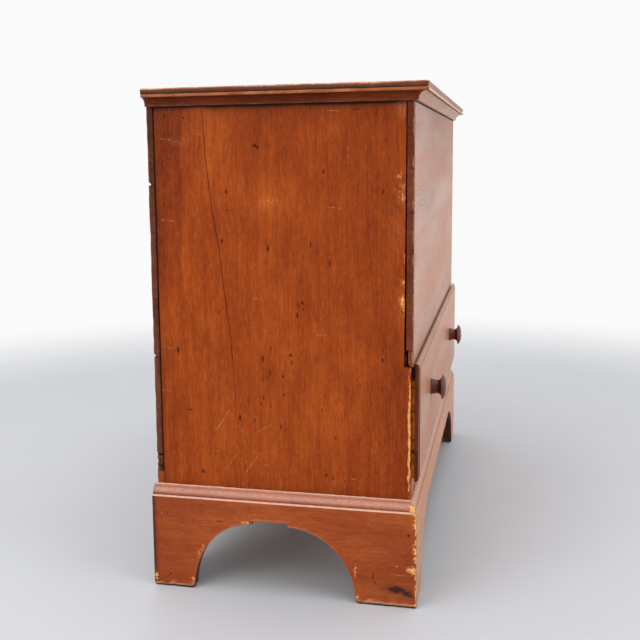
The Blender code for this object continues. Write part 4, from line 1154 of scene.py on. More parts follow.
    def back_board(self, level: str, seed: int) -> bpy.types.Object:
        """Board across the back with ragged ends and a gap beside the case's end; the bottom one is torn.

        The seams between neighbours are bevelled, with inner edges lower than outer ones. They gather dirt
        and open into a notch at the outer corners.

        Args:
            level: Which of the three boards.
            seed: Start of the random draws.

        Returns:
            The board.
        """
        low, high = node_box(f"back_board_{level}")
        end_tone = {"top": -0.3, "middle": 0.4, "bottom": 0.8}[level]
        hollow_rows = [place + half * share for place, half, _ in self.hollows
                       for share in (-1.5, -0.8, 0.0, 0.8, 1.5)]
        board = Board(f"back_panel_{level}", low, high, 1, seed, radius=1.5 * MM, ragged=1.6 * MM,
                      wear=(0.42, 0.42, 0.3, 0.3), wear_reach=2.0 * MM, grime_and_shade=0.4, end_tone=end_tone,
                      end_grime=0.15, extra=tuple(hollow_rows) if level == "bottom" else ())
        slab = board.slab()
        for label in ("wear", "rub"):
            slab.marks[label] = (slab.marks[label][0], np.zeros_like(slab.marks[label][1]))
        x, z = slab.back[..., 0], slab.back[..., 2]
        to_end = np.minimum(x - low[0], high[0] - x)
        inside = 0.8 * held(to_end / self.inner_run - 2.0)
        slab.marks["raw"] = (np.zeros_like(inside), inside)
        foot = held(1.0 - (z - low[2]) / self.seam_run) * (level != "bottom")
        head = held(1.0 - (high[2] - z) / self.seam_run) * (level != "top")
        open_share = held((z - self.whole_level) / (2.0 * MM))
        slab.back[..., 1] += self.back_gap * open_share * held(1.0 - to_end / self.gap_run)
        above = np.ones_like(z) if level == "bottom" else z - low[2]
        below = np.ones_like(z) if level == "top" else high[2] - z
        seam_dirt = np.exp(-np.minimum(above, below) / self.seam_dirt)
        slab.marks["grime_and_shade"] = (np.maximum(slab.marks["grime_and_shade"][0], seam_dirt), slab.marks["grime_and_shade"][1])
        notch = held(1.0 - above / self.notch_run) - held(1.0 - below / self.notch_run)
        slab.front[..., 2] += self.seam_notch * notch * held(1.0 - to_end / self.corner_run)
        slab.back[..., 2] -= self.seam_bevel * (foot + head)
        if level == "bottom":
            inner = np.zeros_like(z)
            outer = np.zeros_like(z)
            for place, half, share in self.hollows:
                hollow = np.exp(-((z - place) / half) ** 4) * (to_end < self.hollow_reach)
                inner = np.maximum(inner, hollow)
                outer = np.maximum(outer, share * hollow)
            slab.marks["crack_and_shadow"] = (outer, inner)
            for grid in (slab.front, slab.back):
                near = held(1.0 - (grid[..., 0] - low[0]) / self.tear_reach)
                torn = np.exp(-((grid[..., 2] - self.break_level) / self.break_height) ** 4)
                rough = 0.75 + 0.4 * ripple(grid[..., 2:], 0.007, 37)
                grid[..., 0] += self.break_depth * torn * rough * near * (grid[..., 2] > self.whole_level)
        return slab.build()


@dataclass
class BracketBase:
    """Moulded base boards with bracket feet, mitred at the front corners."""

    face_height: float = 0.1695
    mould_fillet: float = 3.0 * MM
    mould_land: float = 3.2 * MM
    mould_quirk: float = 1.2 * MM
    seat: float = 0.3 * MM
    side_front_foot: float = 0.1045
    side_rear_foot: float = 0.0765
    side_flat: float = 0.0650
    side_split: float = 0.525
    side_skirt: float = 0.0353
    front_foot: float = 0.0920
    front_arm: float = 0.1250
    front_skirt: float = 0.0470
    arch_step: float = 6.6 * MM
    edge_radius: float = 1.6 * MM
    foot_radius: float = 4.0 * MM
    corner_radius: float = 6.5 * MM
    mitre_radius: float = 1.3 * MM
    face_rows: int = 40
    top_rows: tuple[float, ...] = (3.0 * MM, 1.8 * MM, 1.0 * MM, 0.4 * MM, 0.0)
    round_rows: int = 12
    near_rows: tuple[float, ...] = (0.0, 0.003, 0.007, 0.012, 0.02, 0.032)
    arch_points: int = 36
    flat_points: int = 26
    step_points: int = 5
    foot_step: float = 5.0 * MM
    inner_radius: float = 0.5 * MM

    def build(self) -> None:
        """Builds the three moulded boards and dresses the brackets and blocks behind them."""
        for side in Side:
            finish = BASE_LEFT if side is Side.LEFT else BASE_RIGHT
            settle(self.end_board(side), "case", (f"base_{side.word}",), finish)
            dress(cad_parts[f"rear_bracket_{side.word}"], BACK)
            dress(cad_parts[f"corner_block_{side.word}"], RAW_Z)
        settle(self.front_board(), "case", ("base_front",), BASE_FACE)

    def outline(self, start: float, end: float, arms: tuple[float, float], skirt: float) -> Array:
        """Lower edge: foot, quarter ellipse, step, flat, step, quarter ellipse, foot.

        Args:
            start: Inner end of the first foot, after the board's end at 0.
            end: Inner end of the last foot.
            arms: Lengths of the two curved arms.
            skirt: Board left above the flat.

        Returns:
            Place along the board and height of each point, from 0 to the arch's far foot.
        """
        flat_z = self.face_height - skirt
        rise = flat_z - self.arch_step
        turn = np.linspace(0.0, 0.5 * np.pi, self.arch_points)
        first = np.stack([start + arms[0] * (1.0 - np.cos(turn)), rise * np.sin(turn)], -1)
        last = np.stack([end - arms[1] * (1.0 - np.cos(turn)), rise * np.sin(turn)], -1)[::-1]
        flat = np.linspace(first[-1, 0], last[0, 0], self.flat_points)
        steps = np.linspace(rise, flat_z, self.step_points)[1:]
        up = np.stack([np.full_like(steps, flat[0]), steps], -1)
        down = np.stack([np.full_like(steps, flat[-1]), steps[::-1]], -1)
        top = np.stack([flat, np.full_like(flat, flat_z)], -1)[1:-1]
        return np.concatenate([first, up, top, down, last])

    def rounded(self, lower: Array, corners: tuple[float, ...]) -> Array:
        """Lower edge whose floor points rise by a quarter circle beside a foot's corner."""
        away = np.abs(lower[:, :1] - np.array(corners)).min(1)
        lift = rolled(away, self.corner_radius) * (lower[:, 1] < self.corner_radius)
        return np.stack([lower[:, 0], np.maximum(lower[:, 1], lift)], -1)

    def section(self, thickness: float) -> tuple[Array, Array]:
        """Moulding above the face: a land, a quirk, a round and a fillet, as distance out and height."""
        top = node_box("base_front")[1][2]
        quirk_out = thickness - self.mould_land
        turn = np.linspace(0.0, 0.5 * np.pi, self.round_rows)
        reach = quirk_out - self.mould_quirk - self.mould_fillet
        rise = top - self.mould_quirk - self.face_height
        out = np.concatenate([
            [thickness - 0.5 * MM, quirk_out + 0.5 * MM, quirk_out],
            self.mould_fillet + reach * np.cos(turn),
            [self.mould_fillet, self.mould_fillet - 0.5 * MM, self.seat]])
        z = np.concatenate([
            self.face_height + np.array([0.45, 1.0, 1.2]) * MM,
            self.face_height + rise * np.sin(turn), top - np.array([0.5, 0.05, 0.0]) * MM])
        z[3] += 0.4 * MM
        return out, z

    def grids(self, lower: Array, length: float, thickness: float, seed: int) -> tuple[Array, Array, dict]:
        """Outer and inner grid of one board: rows from the lower edge up the face and over the moulding.

        Args:
            lower: Place along the board and height of the lower edge's points, ends included.
            length: Whole length of the board.
            thickness: Its thickness.
            seed: Start of the random draws.

        Returns:
            Outer and inner grid as distance along, distance out and height, and the marks of the outer one.
        """
        step = np.abs(np.diff(lower, axis=0)) @ np.array([1.0, 0.5])
        share = np.concatenate([[0.0], np.cumsum(step)]) / step.sum()
        near = np.array(self.near_rows)
        rise = np.concatenate([near, np.linspace(0.05, 1.0, self.face_rows - len(near) + 1)])[:-1]
        upper = self.face_height - np.array(self.top_rows)
        along = lower[:, 0][:, None] * (1.0 - rise) + (length * share)[:, None] * rise
        height = lower[:, 1][:, None] * (1.0 - rise) + upper[0] * rise
        mould_out, mould_z = self.section(thickness)
        count = len(mould_z)
        straight = np.concatenate([upper, mould_z])
        along = np.concatenate([along, np.repeat((length * share)[:, None], len(straight), 1)], 1)
        height = np.concatenate([height, np.repeat(straight[None], len(lower), 0)], 1)
        place = np.stack([along, height], -1)
        to_low = height - lower[:, 1][:, None]
        standing = (lower[:, 1] < self.corner_radius)[:, None]
        radius = np.where(standing, self.foot_radius, self.edge_radius)
        radius = radius * np.clip(1.0 + 0.4 * ripple(place, 0.035, seed), 0.4, 1.8)
        out = np.full_like(along, thickness) - rolled(to_low, radius)
        to_top = np.clip(self.face_height - height, 0.0, None)
        worn_flat = 0.1 * MM * (1.0 + ripple(place, 0.09, seed + 1))
        out = out - 0.4 * rolled(to_top, self.edge_radius) - np.maximum(worn_flat, 0.0)
        out[:, -count:] = mould_out - np.maximum(0.12 * MM * ripple(place[:, -count:], 0.05, seed + 2), 0.0)
        inner = np.full_like(out, self.seat) + rolled(to_low, self.inner_radius)
        first = len(rise) + len(self.top_rows)
        arris = np.exp(-((to_low - 1.3 * radius) / (1.5 * MM)) ** 2)
        wear = np.where(standing, 0.56, 0.26) * arris
        rub = np.where(standing, 0.6, 0.15) * arris
        rub = np.maximum(rub, 1.3 * held(1.3 - to_top / (1.4 * MM)) * (height <= self.face_height))
        chips = np.clip(ripple(along[:, first:first + 2, None], 0.016, seed + 4), -0.7, 1.2)
        rub[:, first:first + 2] = 1.1 + 0.4 * chips
        # Up the moulding: pale worn arrises at its top and foot, and painted highlight on the upward-facing
        # round
        level = (mould_z[3:] - mould_z[3]) / (mould_z[-1] - mould_z[3])
        rub[:, first + 3:] = np.interp(level, (0.0, 0.2, 0.45, 0.7, 0.86, 0.94, 1.0),
                                       (0.05, 0.14, 0.50, 0.44, 0.18, 0.7, 1.5))
        wear[:, first:first + 2] = 0.36 + 0.24 * chips
        wear[:, -2:] = 0.46
        # Painted shade: darker on the feet's rounded bottom edge, with a painted contact shadow there, and
        # dark lines in the moulding's quirks
        dirt_and_shade = 1.1 * standing * held(1.3 - to_low / (2.2 * MM))
        contact_shadow = standing * held(2.5 - to_low / (1.8 * MM))
        dirt_and_shade[:, first + 2:first + 4] = 0.7
        dirt_and_shade[:, -4:-2] = 0.5
        tone = 0.2 * ripple(place * GRAIN_FLOW, 0.08, seed + 3)
        # Painted shade: the round's lower, downward-facing part is darker
        tone[:, first + 3:] -= np.interp(level, (0.3, 0.5), (0.9, 0.2))
        marks = {"wear": wear, "grime_and_shade": dirt_and_shade, "tone": tone, "rub": rub, "crack_and_shadow": contact_shadow}
        return np.stack([along, out, height], -1), np.stack([along, inner, height], -1), marks

    def end_board(self, side: Side) -> bpy.types.Object:
        """Board under an end, from the rear corner to the front mitre."""
        low, high = node_box(f"base_{side.word}")
        front_low = node_box("base_front")[0]
        inner_x = node_box(f"end_board_{side.word}")[1 if side is Side.RIGHT else 0][0]
        thickness = high[0] - low[0] + self.seat
        length = high[1] - low[1]
        front_thick = node_box("front_rail")[0][1] - front_low[1]
        curved = length - self.side_rear_foot - self.side_front_foot - self.side_flat
        arms = ((1.0 - self.side_split) * curved, self.side_split * curved)
        arch = self.outline(self.side_rear_foot, length - self.side_front_foot, arms, self.side_skirt)
        rear = stations(0.0, self.side_rear_foot, self.foot_step)[:-1]
        front = stations(length - self.side_front_foot, length, self.foot_step)[1:]
        lower = np.concatenate([np.stack([rear, 0.0 * rear], -1), arch, np.stack([front, 0.0 * front], -1)])
        lower = self.rounded(lower, (0.0, self.side_rear_foot, length - self.side_front_foot))
        outer, inner, marks = self.grids(lower, length, thickness, 51 + side.value)
        to_front = length - outer[..., 0]
        to_rear = outer[..., 0]
        mitre = self.mitre_radius * np.clip(1.0 + ripple(outer[..., 2:], 0.02, 57), 0.3, 2.6)
        outer[..., 1] -= rolled(to_front, mitre)
        outer[..., 1] -= rolled(to_rear, 1.0 * MM)
        place = np.stack([outer[..., 0], outer[..., 2]], -1)
        reach = (4.0 + 2.6 * np.clip(ripple(place[..., 1:], 0.03, 58), 0.0, 1.2)) * MM
        broken = np.clip(0.8 + 0.4 * ripple(place[..., 1:], 0.016, 59), 0.35, 1.1)
        wear = np.maximum(marks["wear"], broken * held(1.2 - to_front / reach))
        wear = np.maximum(wear, 0.5 * held(1.0 - to_rear / (1.4 * MM)))
        wear = np.maximum(wear, patched(place, BASE_BARE))
        tilted = place + (place[..., :1] - 0.445) * np.array([0.0, 0.21])
        smudge = np.maximum(1.4 * hill(tilted, (0.445, 0.030), (0.026, 0.007)),
                            1.1 * hill(place, (0.464, 0.024), (0.012, 0.005)))
        uneven = np.clip(0.9 + 0.5 * ripple(place * np.array([0.4, 1.5]), 0.012, 56), 0.35, 1.3)
        dirt_and_shade = np.maximum(marks["grime_and_shade"], smudge * uneven)
        dirt_and_shade = np.maximum(dirt_and_shade, 0.85 * held(1.5 - to_rear / (6.0 * MM)))
        dull = held(1.0 - to_rear / 0.10) * held(1.4 - place[..., 1] / 0.11)
        tone = marks["tone"] + 0.1 - 0.8 * dull
        grids = []
        for grid in (outer, inner):
            shear = held((grid[..., 0] - (length - self.side_front_foot)) / self.side_front_foot)
            y = high[1] - grid[..., 0] + shear * (thickness - grid[..., 1]) * front_thick / thickness
            grids.append(np.stack([inner_x + side.value * grid[..., 1], y, grid[..., 2]], -1))
        none = np.zeros_like(wear)
        # Painted shade: the inner face and the edges round the arches and feet are darker
        pairs = {"wear": (wear, none), "grime_and_shade": (dirt_and_shade, none + 0.3), "tone": (tone, none - 0.8),
                 "rub": (marks["rub"], none), "crack_and_shadow": (marks["crack_and_shadow"], none)}
        return Slab(f"base_end_{side.word}", grids[0], grids[1], pairs,
                    rim_added={"tone": -1.2, "grime_and_shade": 0.6}).build()

    def front_board(self) -> bpy.types.Object:
        """Board under the drawer, mitred at both ends."""
        low, high = node_box("base_front")
        inner_y = node_box("front_rail")[0][1]
        case_half = node_box("front_board")[1][0]
        thickness = inner_y - low[1]
        length = high[0] - low[0]
        arch = self.outline(self.front_foot, length - self.front_foot, (self.front_arm, self.front_arm),
                            self.front_skirt)
        foot = stations(0.0, self.front_foot, self.foot_step)[:-1]
        lower = np.concatenate([np.stack([foot, 0.0 * foot], -1), arch,
                                np.stack([(length - foot)[::-1], 0.0 * foot], -1)])
        lower = self.rounded(lower, (self.front_foot, length - self.front_foot))
        outer, inner, marks = self.grids(lower, length, thickness, 61)
        to_end = np.minimum(outer[..., 0], length - outer[..., 0])
        mitre = self.mitre_radius * np.clip(1.0 + ripple(outer[..., 2:], 0.02, 67), 0.3, 2.6)
        outer[..., 1] -= rolled(to_end, mitre)
        reach = 3.6 * MM * np.clip(1.0 + 0.5 * ripple(outer[..., 2:], 0.03, 68), 0.4, 1.6)
        wear = np.maximum(0.6 * marks["wear"], 1.1 * held(1.1 - to_end / reach))
        slope = (high[0] - case_half) / thickness
        grids = []
        for grid in (outer, inner):
            off = 2.0 * grid[..., 0] / length - 1.0
            shear = np.sign(off) * held((np.abs(off) - 0.8) / 0.2)
            x = low[0] + grid[..., 0] - shear * (thickness - grid[..., 1]) * slope
            grids.append(np.stack([x, inner_y - grid[..., 1], grid[..., 2]], -1))
        none = np.zeros_like(wear)
        moulded = outer[..., 2] > self.face_height
        # Painted shade: the face is darker low down near both ends, where it catches less glare
        low_corner_shade = held(1.0 - to_end / 0.09) * held(1.3 - outer[..., 2] / 0.07)
        grime_and_shade = np.maximum(np.where(moulded, 0.1, 1.0) * marks["grime_and_shade"], 0.9 * low_corner_shade)
        # The front moulding is painted pale all over: a painted glare
        tone = np.where(moulded, 0.5, marks["tone"])
        rub = np.where(moulded, 0.7, 0.4 * marks["rub"])
        # Painted shade: the inner face and the edges round the arches are darker
        pairs = {"wear": (wear, none), "grime_and_shade": (grime_and_shade, none + 0.3), "tone": (tone, none - 0.8),
                 "rub": (rub, none), "crack_and_shadow": (marks["crack_and_shadow"], none)}
        rim = {"tone": -1.6, "grime_and_shade": 0.9}
        return Slab("base_front_panel", grids[0], grids[1], pairs, rim_added=rim).build()


@dataclass
class Drawer:
    """Lipped drawer front, turned knobs and the dovetailed box behind."""

    lip_thickness: float = 8.5 * MM
    lip_edge: float = 2.6 * MM
    thumb_width: float = 7.5 * MM
    thumb_step: float = 1.2 * MM
    step_run: float = 0.5 * MM
    wall: float = 0.25 * MM
    collar_inset: float = 2.6 * MM
    collar_rise: float = 1.0 * MM
    collar_gap: float = 0.5 * MM
    dark_band_levels: tuple[float, ...] = (0.2695, 0.339)
    dark_band_half: float = 3.5 * MM
    shadow_top: float = 0.3925
    dark_rim: float = 3.0 * MM
    body_lift: float = 5.8 * MM
    thumb_shares: tuple[float, ...] = (0.04, 0.12, 0.22, 0.36, 0.52, 0.7, 0.86, 1.0)
    step_x: float = 6.0 * MM
    step_z: float = 5.0 * MM
    knob_sides: int = 96
    knob_points: int = 14
    knob_spigot: float = 7.0 * MM
    knob_collar: float = 15.2 * MM
    knob_neck: float = 13.4 * MM
    knob_rim: float = 21.3 * MM

    def build(self) -> None:
        """Builds the front and the knobs, and dresses the box."""
        face = self.front()
        settle(face, "drawer", ("drawer_front",), DRAWER_FACE)
        low, high = node_box("drawer_front")
        centres = face_centres(face)
        to_end = high[0] - np.abs(centres[:, 0])
        behind = centres[:, 1] > low[1] + self.lip_thickness + 0.2 * MM
        dress_faces(face, LIP_END, (to_end < self.dark_rim) & ~behind)
        dress_faces(face, COLLAR_END, (to_end < self.collar_inset + 2.0 * MM) & behind)
        for side in Side:
            settle(self.knob(side), "drawer", (f"knob_{side.word}",), KNOB)
            dress(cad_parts[f"drawer_side_{side.word}"], RAW_Y)
        for name, thin, seed in (("drawer_back", 1, 81), ("drawer_bottom", 2, 82)):
            low, high = node_box(name)
            board = Board(f"{name}_board", low, high, thin, seed, radius=0.7 * MM, grime_and_shade=0.45).slab().build()
            settle(board, "drawer", (name,), RAW_X)

    def front(self) -> bpy.types.Object:
        """Face with a quarter-round edge and a small step, by the distance from the border.

        Behind it lie the lip, a collar that stops short of the case, and the body.
        """
        low, high = node_box("drawer_front")
        side_low, side_high = node_box("drawer_side_left")[0], node_box("drawer_side_right")[1]
        body_low = np.array([side_low[0], 0.0, low[2] + self.body_lift])
        body_high = np.array([side_high[0], 0.0, side_high[2]])
        rims = np.array([*(self.thumb_width * np.array(self.thumb_shares)), self.thumb_width + self.step_run])
        walls = np.array([0.0, self.wall])
        edge = self.collar_inset
        collar_z = (body_low[2] - self.collar_rise, body_high[2] + self.collar_rise)
        extra_x = np.concatenate([paired(low[0], high[0], rims), paired(body_low[0], body_high[0], walls),
                                  paired(low[0] + edge, high[0] - edge, walls)])
        extra_z = np.concatenate([paired(low[2], high[2], rims), paired(body_low[2], body_high[2], walls),
                                  paired(*collar_z, walls)])
        along = stations(low[0], high[0], self.step_x, extra_x)
        up = stations(low[2], high[2], self.step_z, extra_z)
        x, z = np.meshgrid(along, up, indexing="ij")
        place = np.stack([x, z], -1)
        border = np.minimum.reduce([x - low[0], high[0] - x, z - low[2], high[2] - z])
        share = held(1.0 - border / self.thumb_width)
        fall = self.lip_thickness - self.lip_edge - self.thumb_step
        depth = self.thumb_step + fall * (1.0 - np.sqrt(1.0 - share ** 2))
        past = held((border - self.thumb_width) / self.step_run)
        depth = depth * (1.0 - past) + np.maximum(0.1 * MM * (1.0 + ripple(place, 0.1, 83)), 0.0)
        inside = np.minimum.reduce([x - body_low[0], body_high[0] - x, z - body_low[2], body_high[2] - z])
        body = held(inside / self.wall)
        lip_y = low[1] + self.lip_thickness
        collar_y = node_box("end_board_left")[0][1] - self.collar_gap
        outside = np.minimum.reduce([x - low[0] - edge, high[0] - edge - x, z - collar_z[0], collar_z[1] - z])
        collar = held(outside / self.wall)
        back_y = lip_y + collar * (collar_y - lip_y) * (1.0 - body) + body * (high[1] - lip_y)
        face = np.stack([x, low[1] + depth, z], -1)
        back = np.stack([x, back_y, z], -1)
        none = np.zeros_like(x)
        # A dark line in the step beside the thumb moulding, faint along the bottom, and the darker back are
        # painted shade; the face is also darker near its ends
        line = np.exp(-((border - self.thumb_width - 0.2 * MM) / (0.7 * MM)) ** 2)
        end = np.minimum(x - low[0], high[0] - x)
        lower = z - low[2] < border + 0.1 * MM
        end_dirt = held((1.06 * self.thumb_width - end) / (0.8 * MM))
        dirt_and_shade = np.where(lower, 0.1, 0.75) * line + 0.35 * end_dirt
        wear = 0.5 * held(1.0 - border / (2.0 * MM)) * (end > 3.0 * MM)
        raw = (border > 1.0 * MM) * held(0.6 + 0.4 * ripple(z[..., None], 0.016, 84))
        # Painted shadow at the top of the end strip behind the lip, and dark bands at given heights
        band = held((z - self.shadow_top) / (3.0 * MM))
        for stain in self.dark_band_levels:
            band = np.maximum(band, 0.8 * np.exp(-((z - stain) / self.dark_band_half) ** 2))
        marks = {"wear": (wear, none), "grime_and_shade": (dirt_and_shade, none + 0.8), "raw": (none, raw), "crack_and_shadow": (none, band),
                 "tone": (0.2 * ripple(place * GRAIN_FLOW, 0.1, 86), none)}
        return Slab("drawer_face", face, back, marks).build()

    def knob(self, side: Side) -> bpy.types.Object:
        """Turned knob: a profile of radius and distance out, carried round its axis."""
        low, high = node_box(f"knob_{side.word}")
        face_low, _ = node_box("drawer_front")
        centre = np.array([(low[0] + high[0]) / 2.0, face_low[1], (low[2] + high[2]) / 2.0])
        head = (high[0] - low[0]) / 2.0
        tip = face_low[1] - low[1]
        root = -(high[1] - face_low[1])
        spigot, collar, neck, rim = self.knob_spigot, self.knob_collar, self.knob_neck, self.knob_rim
        turn = np.linspace(0.0, 0.5 * np.pi, self.knob_points)
        lip = np.array([[collar - 0.6 * MM, 0.0], [collar, 0.7 * MM],
                        [collar, 2.1 * MM], [collar - 0.7 * MM, 2.8 * MM]])
        waist = np.stack([neck + 0.8 * MM * np.cos(2.0 * turn), 3.4 * MM + 9.5 * MM * turn / turn[-1]], -1)
        flare_out = 13.2 * MM + (rim - 14.4 * MM) * np.sin(turn)
        flare = np.stack([head - (head - neck) * np.cos(turn), flare_out], -1)[1:]
        edge = np.array([[head, rim - 0.6 * MM], [head, rim], [head - 0.25 * MM, rim + 0.6 * MM]])
        crown_out = rim + 0.6 * MM + (tip - rim - 0.6 * MM) * np.sin(turn)
        crown = np.stack([(head - 0.4 * MM) * np.cos(turn), crown_out], -1)[1:]
        stem = [[0.0, root], [spigot, root], [spigot, 0.0]]
        profile = np.concatenate([stem, lip, waist, flare, edge, crown])
        angle = np.linspace(0.0, 2.0 * np.pi, self.knob_sides, endpoint=False)
        ring = np.stack([np.cos(angle), 0.0 * angle, np.sin(angle)], -1)
        radius, out = profile[:, :, None, None].swapaxes(0, 1)
        points = centre + radius * ring - out * np.array([0.0, 1.0, 0.0])
        rows = len(profile)
        index = np.arange(rows * self.knob_sides).reshape(rows, self.knob_sides)
        after = np.roll(index, -1, axis=1)
        faces = np.stack([index[:-1], index[1:], after[1:], after[:-1]], -1).reshape(-1, 4)
        near_rim = np.exp(-((profile[:, 1] - rim) / (1.0 * MM)) ** 2)
        wear = np.repeat(near_rim, self.knob_sides)
        return mesh_object(f"turned_knob_{side.word}", points.reshape(-1, 3), faces, {"wear": wear})


@dataclass
class Lid:
    """Lid board with a worn edge, and the mouldings under it on three sides."""

    arris: float = 2.0 * MM
    undercut: float = 2.4 * MM
    edge: float = 9.8 * MM
    fillet: float = 5.2 * MM
    quirk: float = 2.8 * MM
    foot: float = 6.0 * MM
    heel: float = 2.2 * MM
    fit: float = 0.8 * MM
    step: float = 7.0 * MM
    plate_gap: float = 0.5 * MM
    wall: float = 0.4 * MM
    mitre_run: float = 0.05
    undercut_run: float = 10.0 * MM
    undercut_reach: float = 11.0 * MM
    fillet_arris: float = 0.8 * MM
    cove_points: int = 14

    def build(self) -> None:
        """Builds the board and its three mouldings."""
        board = self.board()
        settle(board, "lid", ("lid_board",), LID_TOP)
        low, high = node_box("lid_board")
        centres = face_centres(board)
        to_edge = np.minimum.reduce([centres[:, 0] - low[0], high[0] - centres[:, 0], centres[:, 1] - low[1]])
        under_edge = np.abs(centres[:, 2] - (high[2] - self.edge)) < 0.2 * MM
        # Painted shade: the faces under the lid board's edge get the near-black finish
        dress_faces(board, SHADOW_LINE, under_edge & (to_edge < 8.0 * MM))
        front = self.moulding_front()
        settle(front, "lid", ("lid_moulding_front",), MOULD_FRONT)
        ledge_z = node_box("lid_moulding_front")[1][2] - self.fillet
        # Painted shade: the moulding's downward-facing quirk ledge gets the near-black finish
        dress_faces(front, SHADOW_LINE, np.abs(face_centres(front)[:, 2] - ledge_z) < 0.12 * MM)
        for side in Side:
            settle(self.moulding_end(side), "lid", (f"lid_moulding_{side.word}",), MOULD_END)

    def board(self) -> bpy.types.Object:
        """Top grid rolled at its edge, over a grid with the thicker middle and the undercut edge."""
        low, high = node_box("lid_board")
        case_half, front_y = case_corner()
        plate = case_half + self.plate_gap
        plate_y = front_y - self.plate_gap
        wall = self.wall
        x = stations(low[0], high[0], self.step, (-plate, plate, -plate - wall, plate + wall))
        y = stations(low[1], high[1], self.step, (plate_y, plate_y - wall))
        gx, gy = np.meshgrid(x, y, indexing="ij")
        place = np.stack([gx, gy], -1)
        moulded = np.minimum.reduce([gx - low[0], high[0] - gx, gy - low[1]])
        border = np.minimum(moulded, high[1] - gy)
        radius = self.arris * np.clip(1.0 + 0.2 * ripple(place, 0.09, 91), 0.5, 1.5)
        depth = rolled(border, radius) + np.maximum(0.12 * MM * (1.0 + ripple(place, 0.14, 92)), 0.0)
        top = np.stack([gx, gy, high[2] - depth], -1)
        inset = self.undercut * held(1.0 - moulded / self.undercut_run)
        low_x = gx - np.sign(gx) * inset * (np.abs(gx) - np.abs(high[0]) > -self.undercut_reach)
        low_y = gy + inset * (gy - low[1] < self.undercut_reach)
        inside = np.minimum.reduce([plate + wall - np.abs(gx), gy - plate_y + wall])
        drop = held(inside / wall)
        under = np.stack([low_x, low_y, high[2] - self.edge + drop * (low[2] - high[2] + self.edge)], -1)
        uneven = np.clip(1.0 + 0.45 * ripple(place, 0.035, 94), 0.3, 1.7)
        wear = 0.56 * uneven * held(1.0 - border / (2.6 * MM))
        rub = 0.8 * uneven * held(1.0 - border / (1.8 * MM))
        to_end = np.minimum(gx - low[0], high[0] - gx)
        # Painted shade: the underside beside the mouldings is darkened, more at the ends
        dirt_and_shade = np.where(to_end < gy - low[1], 1.25, 0.3) * held(1.0 - moulded / (4.0 * MM))
        none = np.zeros_like(gx)
        raw = 0.8 * drop
        marks = {"wear": (wear, none), "grime_and_shade": (none, dirt_and_shade), "raw": (none, raw), "rub": (rub, none),
                 "tone": (0.2 * ripple(place * GRAIN_FLOW, 0.12, 93), none)}
        return Slab("lid_top_board", top, under, marks, rim_added={"grime_and_shade": 0.1, "tone": -0.5}).build()

    def section(self) -> tuple[Array, Array, Array, Array, Array]:
        """Moulding's section from foot to top: heel, cove, quirk and fillet.

        Returns:
            Distance out, height, wear, paleness with painted highlight on the fillet and top, and darkening
            with painted shade at the foot and up the cove, of each point.
        """
        low, high = node_box("lid_moulding_left")
        overhang = -low[0] - node_box("front_board")[1][0]
        top = high[2]
        bottom = low[2]
        fillet_z = top - self.fillet
        cove_out = overhang - self.quirk
        turn = np.linspace(0.0, 0.5 * np.pi, self.cove_points)
        cove = cove_out - (cove_out - self.foot) * np.cos(turn)
        cove_z = bottom + self.heel + (fillet_z - bottom - self.heel) * np.sin(turn)
        arris = self.fillet_arris
        out = np.concatenate([[self.foot - 0.6 * MM, self.foot], cove,
                              [overhang - arris, overhang, overhang, overhang - arris]])
        z = np.concatenate([[bottom, bottom + 0.6 * MM], cove_z,
                            [fillet_z + 0.1 * MM, fillet_z + arris, top - arris, top]])
        wear = np.concatenate([[0.1, 0.15], np.zeros(self.cove_points), [0.12, 0.16, 0.18, 0.15]])
        # Paleness down the section: worn arrises, with painted highlight on the fillet and top
        pale = np.concatenate([[0.2, 0.3], np.zeros(self.cove_points), [0.45, 0.55, 0.7, 1.0]])
        # Darkening down the section: painted shadow at the foot, and painted shade rising up the cove under
        # the fillet and on the quirk ledge
        dirt_and_shade = np.concatenate([[1.2, 0.5], np.linspace(0.15, 0.6, self.cove_points), [0.5, 0.0, 0.0, 0.3]])
        return out, z, wear, pale, dirt_and_shade

    def carried(self, name: str, along: Array, seed: int, place: object, painted_glare: float) -> bpy.types.Object:
        """Section carried along a straight run, rubbed unevenly, with a flat back.

        Args:
            name: Name of the piece.
            along: Places along the run.
            seed: Start of the random draws.
            place: Function from place along, distance out and height to points.
            painted_glare: Paleness of the whole run.

        Returns:
            The moulding.
        """
        out, z, worn, light, dirt_and_shade = self.section()
        run, distance = np.meshgrid(along, out, indexing="ij")
        height = np.repeat(z[None], len(along), 0)
        spot = np.stack([run, height], -1)
        loss = light * np.clip(0.5 + ripple(spot, 0.03, seed), 0.0, 1.8) * 0.25 * MM
        distance = np.maximum(distance - loss, self.fit + 1.0 * MM)
        wear = worn + 0.10 * ripple(spot, 0.09, seed + 1) * (worn > 0.15)
        # Paleness of the run: the section's worn arrises and painted highlight, plus a painted glare over the
        # whole run
        pale = painted_glare + light * np.clip(0.8 + 0.35 * ripple(spot, 0.07, seed + 3), 0.2, 1.2)
        grime_and_shade = np.repeat(dirt_and_shade[None], len(along), 0)
        tone = 0.3 * ripple(spot, 0.2, seed + 2)
        back = place(run, np.full_like(distance, self.fit), height)
        none = np.zeros_like(wear)
        marks = {"wear": (wear, none), "grime_and_shade": (grime_and_shade, none + 0.5), "tone": (tone, none),
                 "rub": (pale, none)}
        return Slab(name, place(run, distance, height), back, marks).build()

    def moulding_end(self, side: Side) -> bpy.types.Object:
        """Moulding along an end, from the rear to the front mitre."""
        _, high = node_box(f"lid_moulding_{side.word}")
        case_half, front_y = case_corner()
        along = stations(front_y, high[1], 5.0 * MM)

        def place(run: Array, out: Array, z: Array) -> Array:
            """Points of the run; its front end follows the mitre."""
            near = held(1.0 - (run - front_y) / self.mitre_run)
            return np.stack([side.value * (case_half + out), run - near * (out - 0.3 * MM), z], -1)

